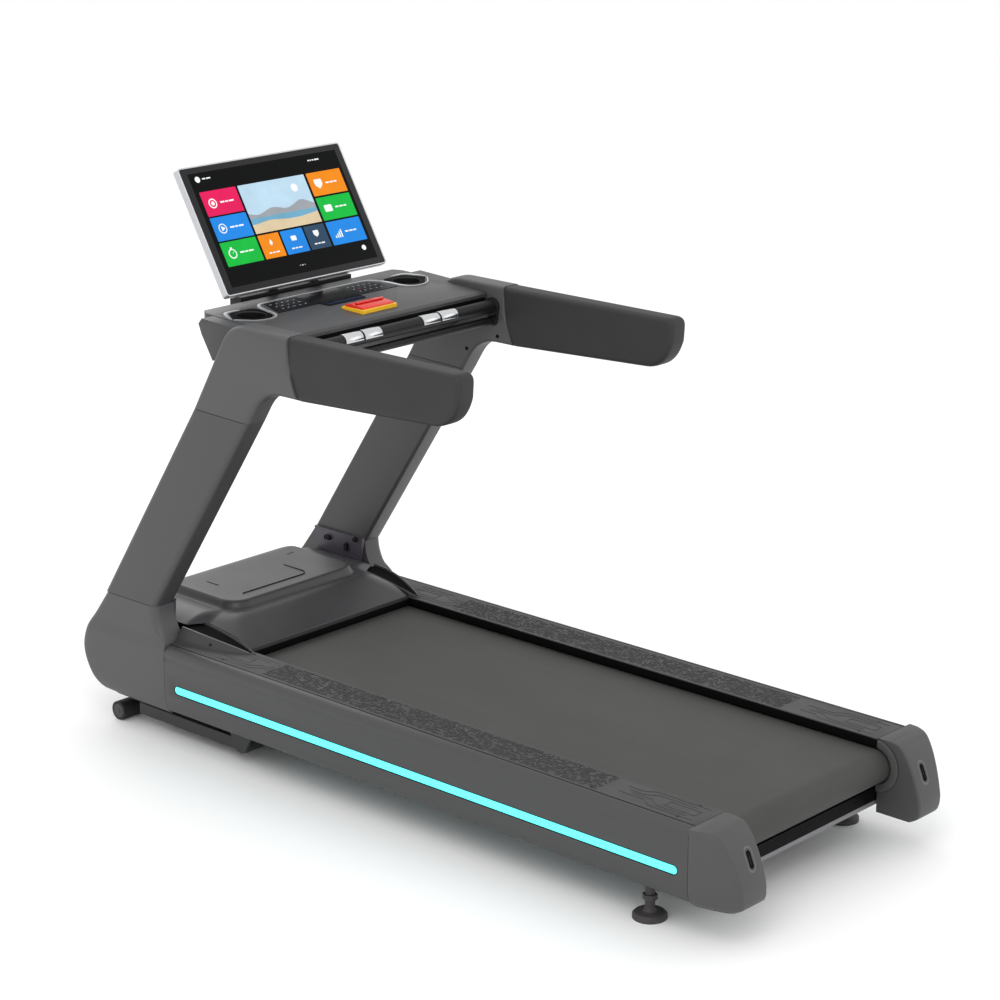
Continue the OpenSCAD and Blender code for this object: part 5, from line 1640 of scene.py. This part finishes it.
def play_icon(x, u, size):
    """Arrowhead in a ring."""
    return [icon_disc(x, u, size), icon_disc(x, u, size * 0.8, "blue", 0.5),
            icon_plate([(x - 4, u - 7, 1), (x + 8, u, 1), (x - 4, u + 7, 1)], "white", 0.58)]


def watch_icon(x, u, size):
    """Stopwatch: a ring with a knob and a hand."""
    return [icon_disc(x, u, size), icon_disc(x, u, size * 0.76, "green", 0.5),
            icon_plate(tile_corners(x - 3, x + 3, u + size, u + size + 4, 1)),
            icon_plate([(x - 1, u - 1, 0), (x + 8, u + 6, 0), (x + 1, u + 2, 0)], "white", 0.58)]


def shield_icon(x, u, size):
    """Shield with a pointed foot."""
    return [icon_plate([(x - size, u + size, 2), (x - size, u - 2, 4), (x, u - size, 2),
                        (x + size, u - 2, 4), (x + size, u + size, 2)])]


def bars_icon(x, u, size):
    """Four bars, each taller than the one before."""
    left = x - size
    foot = u - size
    return [icon_plate(tile_corners(left + 7 * k, left + 7 * k + 4, foot, foot + 6 + 5 * k, 1))
            for k in range(4)]


def flame_icon(x, u, size):
    """Drop with a point on top."""
    wide = size * 0.7
    return [icon_plate([(x, u + size, 1), (x - wide, u - 2, 5), (x, u - size, 5), (x + wide, u, 5)])]


def card_icon(x, u, size):
    """Card with round corners."""
    half = size * 0.7
    return [icon_plate(tile_corners(x - size, x + size, u - half, u + half, 3))]


ICONS = {
    "dial": dial_icon, "play": play_icon, "watch": watch_icon, "shield": shield_icon, "bars": bars_icon,
    "flame": flame_icon, "card": card_icon,
}


def words(x, u, widths, height=4.0):
    """Short bars that stand for a line of words."""
    parts = []
    for width in widths:
        bar = tile_corners(x, x + width, u - height / 2, u + height / 2, 1)
        parts.append(screen_plate("words", bar, *ON_TILE, "white"))
        x += width + 2.5
    return parts


def landscape():
    """Calm picture in the middle tile: sky, low hills, sea and a sandy foreground."""
    x0, x1, u0, u1 = -111, 114, 140, 270
    back = 0.15
    hills = [(x0, u0 + 34, 0), (x1, u0 + 34, 0), (x1, u0 + 52, 0), (x1 - 40, u0 + 70, 14),
             (x1 - 92, u0 + 50, 16), (x0 + 84, u0 + 62, 14), (x0 + 30, u0 + 46, 12), (x0, u0 + 54, 0)]
    shore = [(x0, u0, 1), (x1, u0, 1), (x1, u0 + 30, 1), (x1 - 80, u0 + 22, 20), (x0 + 60, u0 + 30, 18),
             (x0, u0 + 22, 1)]
    return [
        screen_plate("sky", tile_corners(x0, x1, u0, u1), back, 0.28, "sky"),
        screen_plate("hills", hills, back, 0.32, "grey"),
        screen_plate("sea", tile_corners(x0, x1, u0 + 24, u0 + 40, 0.5), back, 0.35, "sea"),
        screen_plate("sand", shore, back, 0.38, "sand"),
        screen_plate("sun", ring_corners(x1 - 46, u1 - 30, 11), back, 0.36, "white")]


def screen_picture():
    """Everything lit on the display, in one piece that rides on the screen."""
    ridge = [(-248, 24, 0), (248, 24, 0), (248, 92, 0), (190, 120, 20), (120, 84, 24), (40, 128, 26),
             (-40, 90, 24), (-120, 122, 24), (-190, 84, 20), (-248, 104, 0)]
    parts = [screen_plate("ridge", ridge, 0.02, 0.1, "ridge")]
    for ink, *sides in TILES:
        parts.append(screen_plate("tile", tile_corners(*sides), *ON_GLASS, ink))
    parts += landscape()
    for kind, x, u in BIG_ICONS:
        parts += ICONS[kind](x, u, 13)
        parts += words(x + 24, u, (14, 9, 16) if x < 0 else (12, 12, 10))
    for kind, x, u in SMALL_ICONS:
        parts += ICONS[kind](x, u, 9)
        parts += words(x - 18, u - 26, (10, 8, 12), 3.4)
    parts += words(-210, 303, (10, 14), 3.4)
    parts += words(146, 303, (5, 5, 5, 16), 3.6)
    for x, u, radius in ((-225, 303, 8), (217, 52, 7)):
        parts.append(screen_plate("badge", ring_corners(x, u, radius), *ON_GLASS, "white"))
    for k, ink in enumerate(("grey", "white", "grey")):
        parts.append(screen_plate("dot", ring_corners(8 * k - 12, 40, 1.8, 10), *ON_GLASS, ink))
    return joined("screen_picture", parts)


def build_screen():
    """Screen housing, glass and picture, and the mount they tilt on."""
    moulded("screen_housing", "silver", 2.0, "screen", slot="screen_silver", segments=4)
    moulded("screen_glass", "bezel", 0.6, "screen", slot="screen_gloss", segments=2)
    display = screen_plate("screen_display", tile_corners(-250, 250, 20, 320, 2), 0.0, 0.12, "glass")
    place(display, "screen", slot="screen_gloss")
    place(screen_picture(), "screen", slot="screen_gloss")
    moulded("screen_mount", "black", 2.0, slot="mount_plastic", segments=4)


# ---- Small parts ----

def wheel_ribs(side):
    """Ribbed tread of a transport wheel."""
    wheel_low, wheel_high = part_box("wheel_" + SIDES[side])
    middle = (wheel_low + wheel_high) / 2
    return grown("wheel_tread_" + SIDES[side], RIBS, [middle], {
        "Radius": (wheel_high.z - wheel_low.z) / 2 - 0.75 * MM, "Count": 32,
        "Length": (wheel_high.x - wheel_low.x) * 0.9, "Thickness": 1.5 * MM, "Material": FINISH["rubber"]})


def wheel_hub(side):
    """Stepped hub disc on a wheel's outer face, with the axle's bolt in its middle."""
    wheel_low, wheel_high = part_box("wheel_" + SIDES[side])
    face = (wheel_low + wheel_high) / 2
    face.x = wheel_high.x if side == RIGHT else wheel_low.x
    profile = [(0.01, -0.6), (18, -0.6), (18, 0.9), (15.5, 1.2), (14.5, 0.3), (9.5, 0.3), (8.5, 1.0),
               (6.5, 1.0), (5.8, 2.6), (0.01, 3.0)]
    outwards = Matrix.Translation(face) @ Matrix.Rotation(side * math.pi / 2, 4, "Y")
    return smooth(lathe("wheel_hub_" + SIDES[side], profile, scaled(outwards), "hub"), 30)


def build_small_parts():
    """Wheel treads and hubs, and the power inlet."""
    for side, label in SIDES.items():
        place(wheel_ribs(side), "wheel_" + label, slot="wheel_rubber")
        place(wheel_hub(side), "wheel_" + label, slot="wheel_rubber")
    moulded("power_inlet", "black", 0.8, slot="mount_plastic", segments=2)


# ---- Stage ----

def stage():
    """Pale floor, soft studio light and the camera."""
    floor = box_piece("floor", (-30, -30, -0.02), (30, 30, 0), "white")
    floor.data.materials.clear()
    floor.data.materials.append(material("studio_floor", "#ffffff", Roughness=0.9)[0])
    world = bpy.data.worlds.new("studio")
    bpy.context.scene.world = world
    world.use_nodes = True
    light_all_round = world.node_tree.nodes["Background"].inputs
    light_all_round["Color"].default_value = (1, 1, 1, 1)
    light_all_round["Strength"].default_value = 1.0
    soft_light("key_light", (-3.2, -2.2, 4.2), (0, 0, 0.6), 3.0, 60)
    soft_light("fill_light", (3.5, -3.0, 2.6), (0, 0, 0.7), 2.5, 12)
    soft_light("rim_light", (1.5, 4.5, 3.2), (0, 0.4, 0.8), 2.5, 40)
    camera = bpy.data.cameras.new("camera")
    camera.sensor_width = 36
    camera.lens = 98.28
    holder = bpy.data.objects.new("camera", camera)
    bpy.context.scene.collection.objects.link(holder)
    holder.location = (-4.608, -4.2376, 2.5939)
    holder.rotation_euler = Vector((0.7073, 0.6453, -0.2884)).to_track_quat("-Z", "Y").to_euler()
    bpy.context.scene.camera = holder
    bpy.context.scene.view_settings.view_transform = "Standard"


def soft_light(name, where, target, size, power):
    """Square area light turned to a point."""
    lamp = bpy.data.lights.new(name, "AREA")
    lamp.size = size
    lamp.energy = power
    holder = bpy.data.objects.new(name, lamp)
    bpy.context.scene.collection.objects.link(holder)
    holder.location = where
    holder.rotation_euler = (Vector(target) - Vector(where)).to_track_quat("-Z", "Y").to_euler()


# ---- Build ----

stage()
paint_bare_nodes()
build_side_covers()
build_foot_rails()
build_rear_end()
build_mast()
build_hood()
build_console()
build_screen()
build_small_parts()
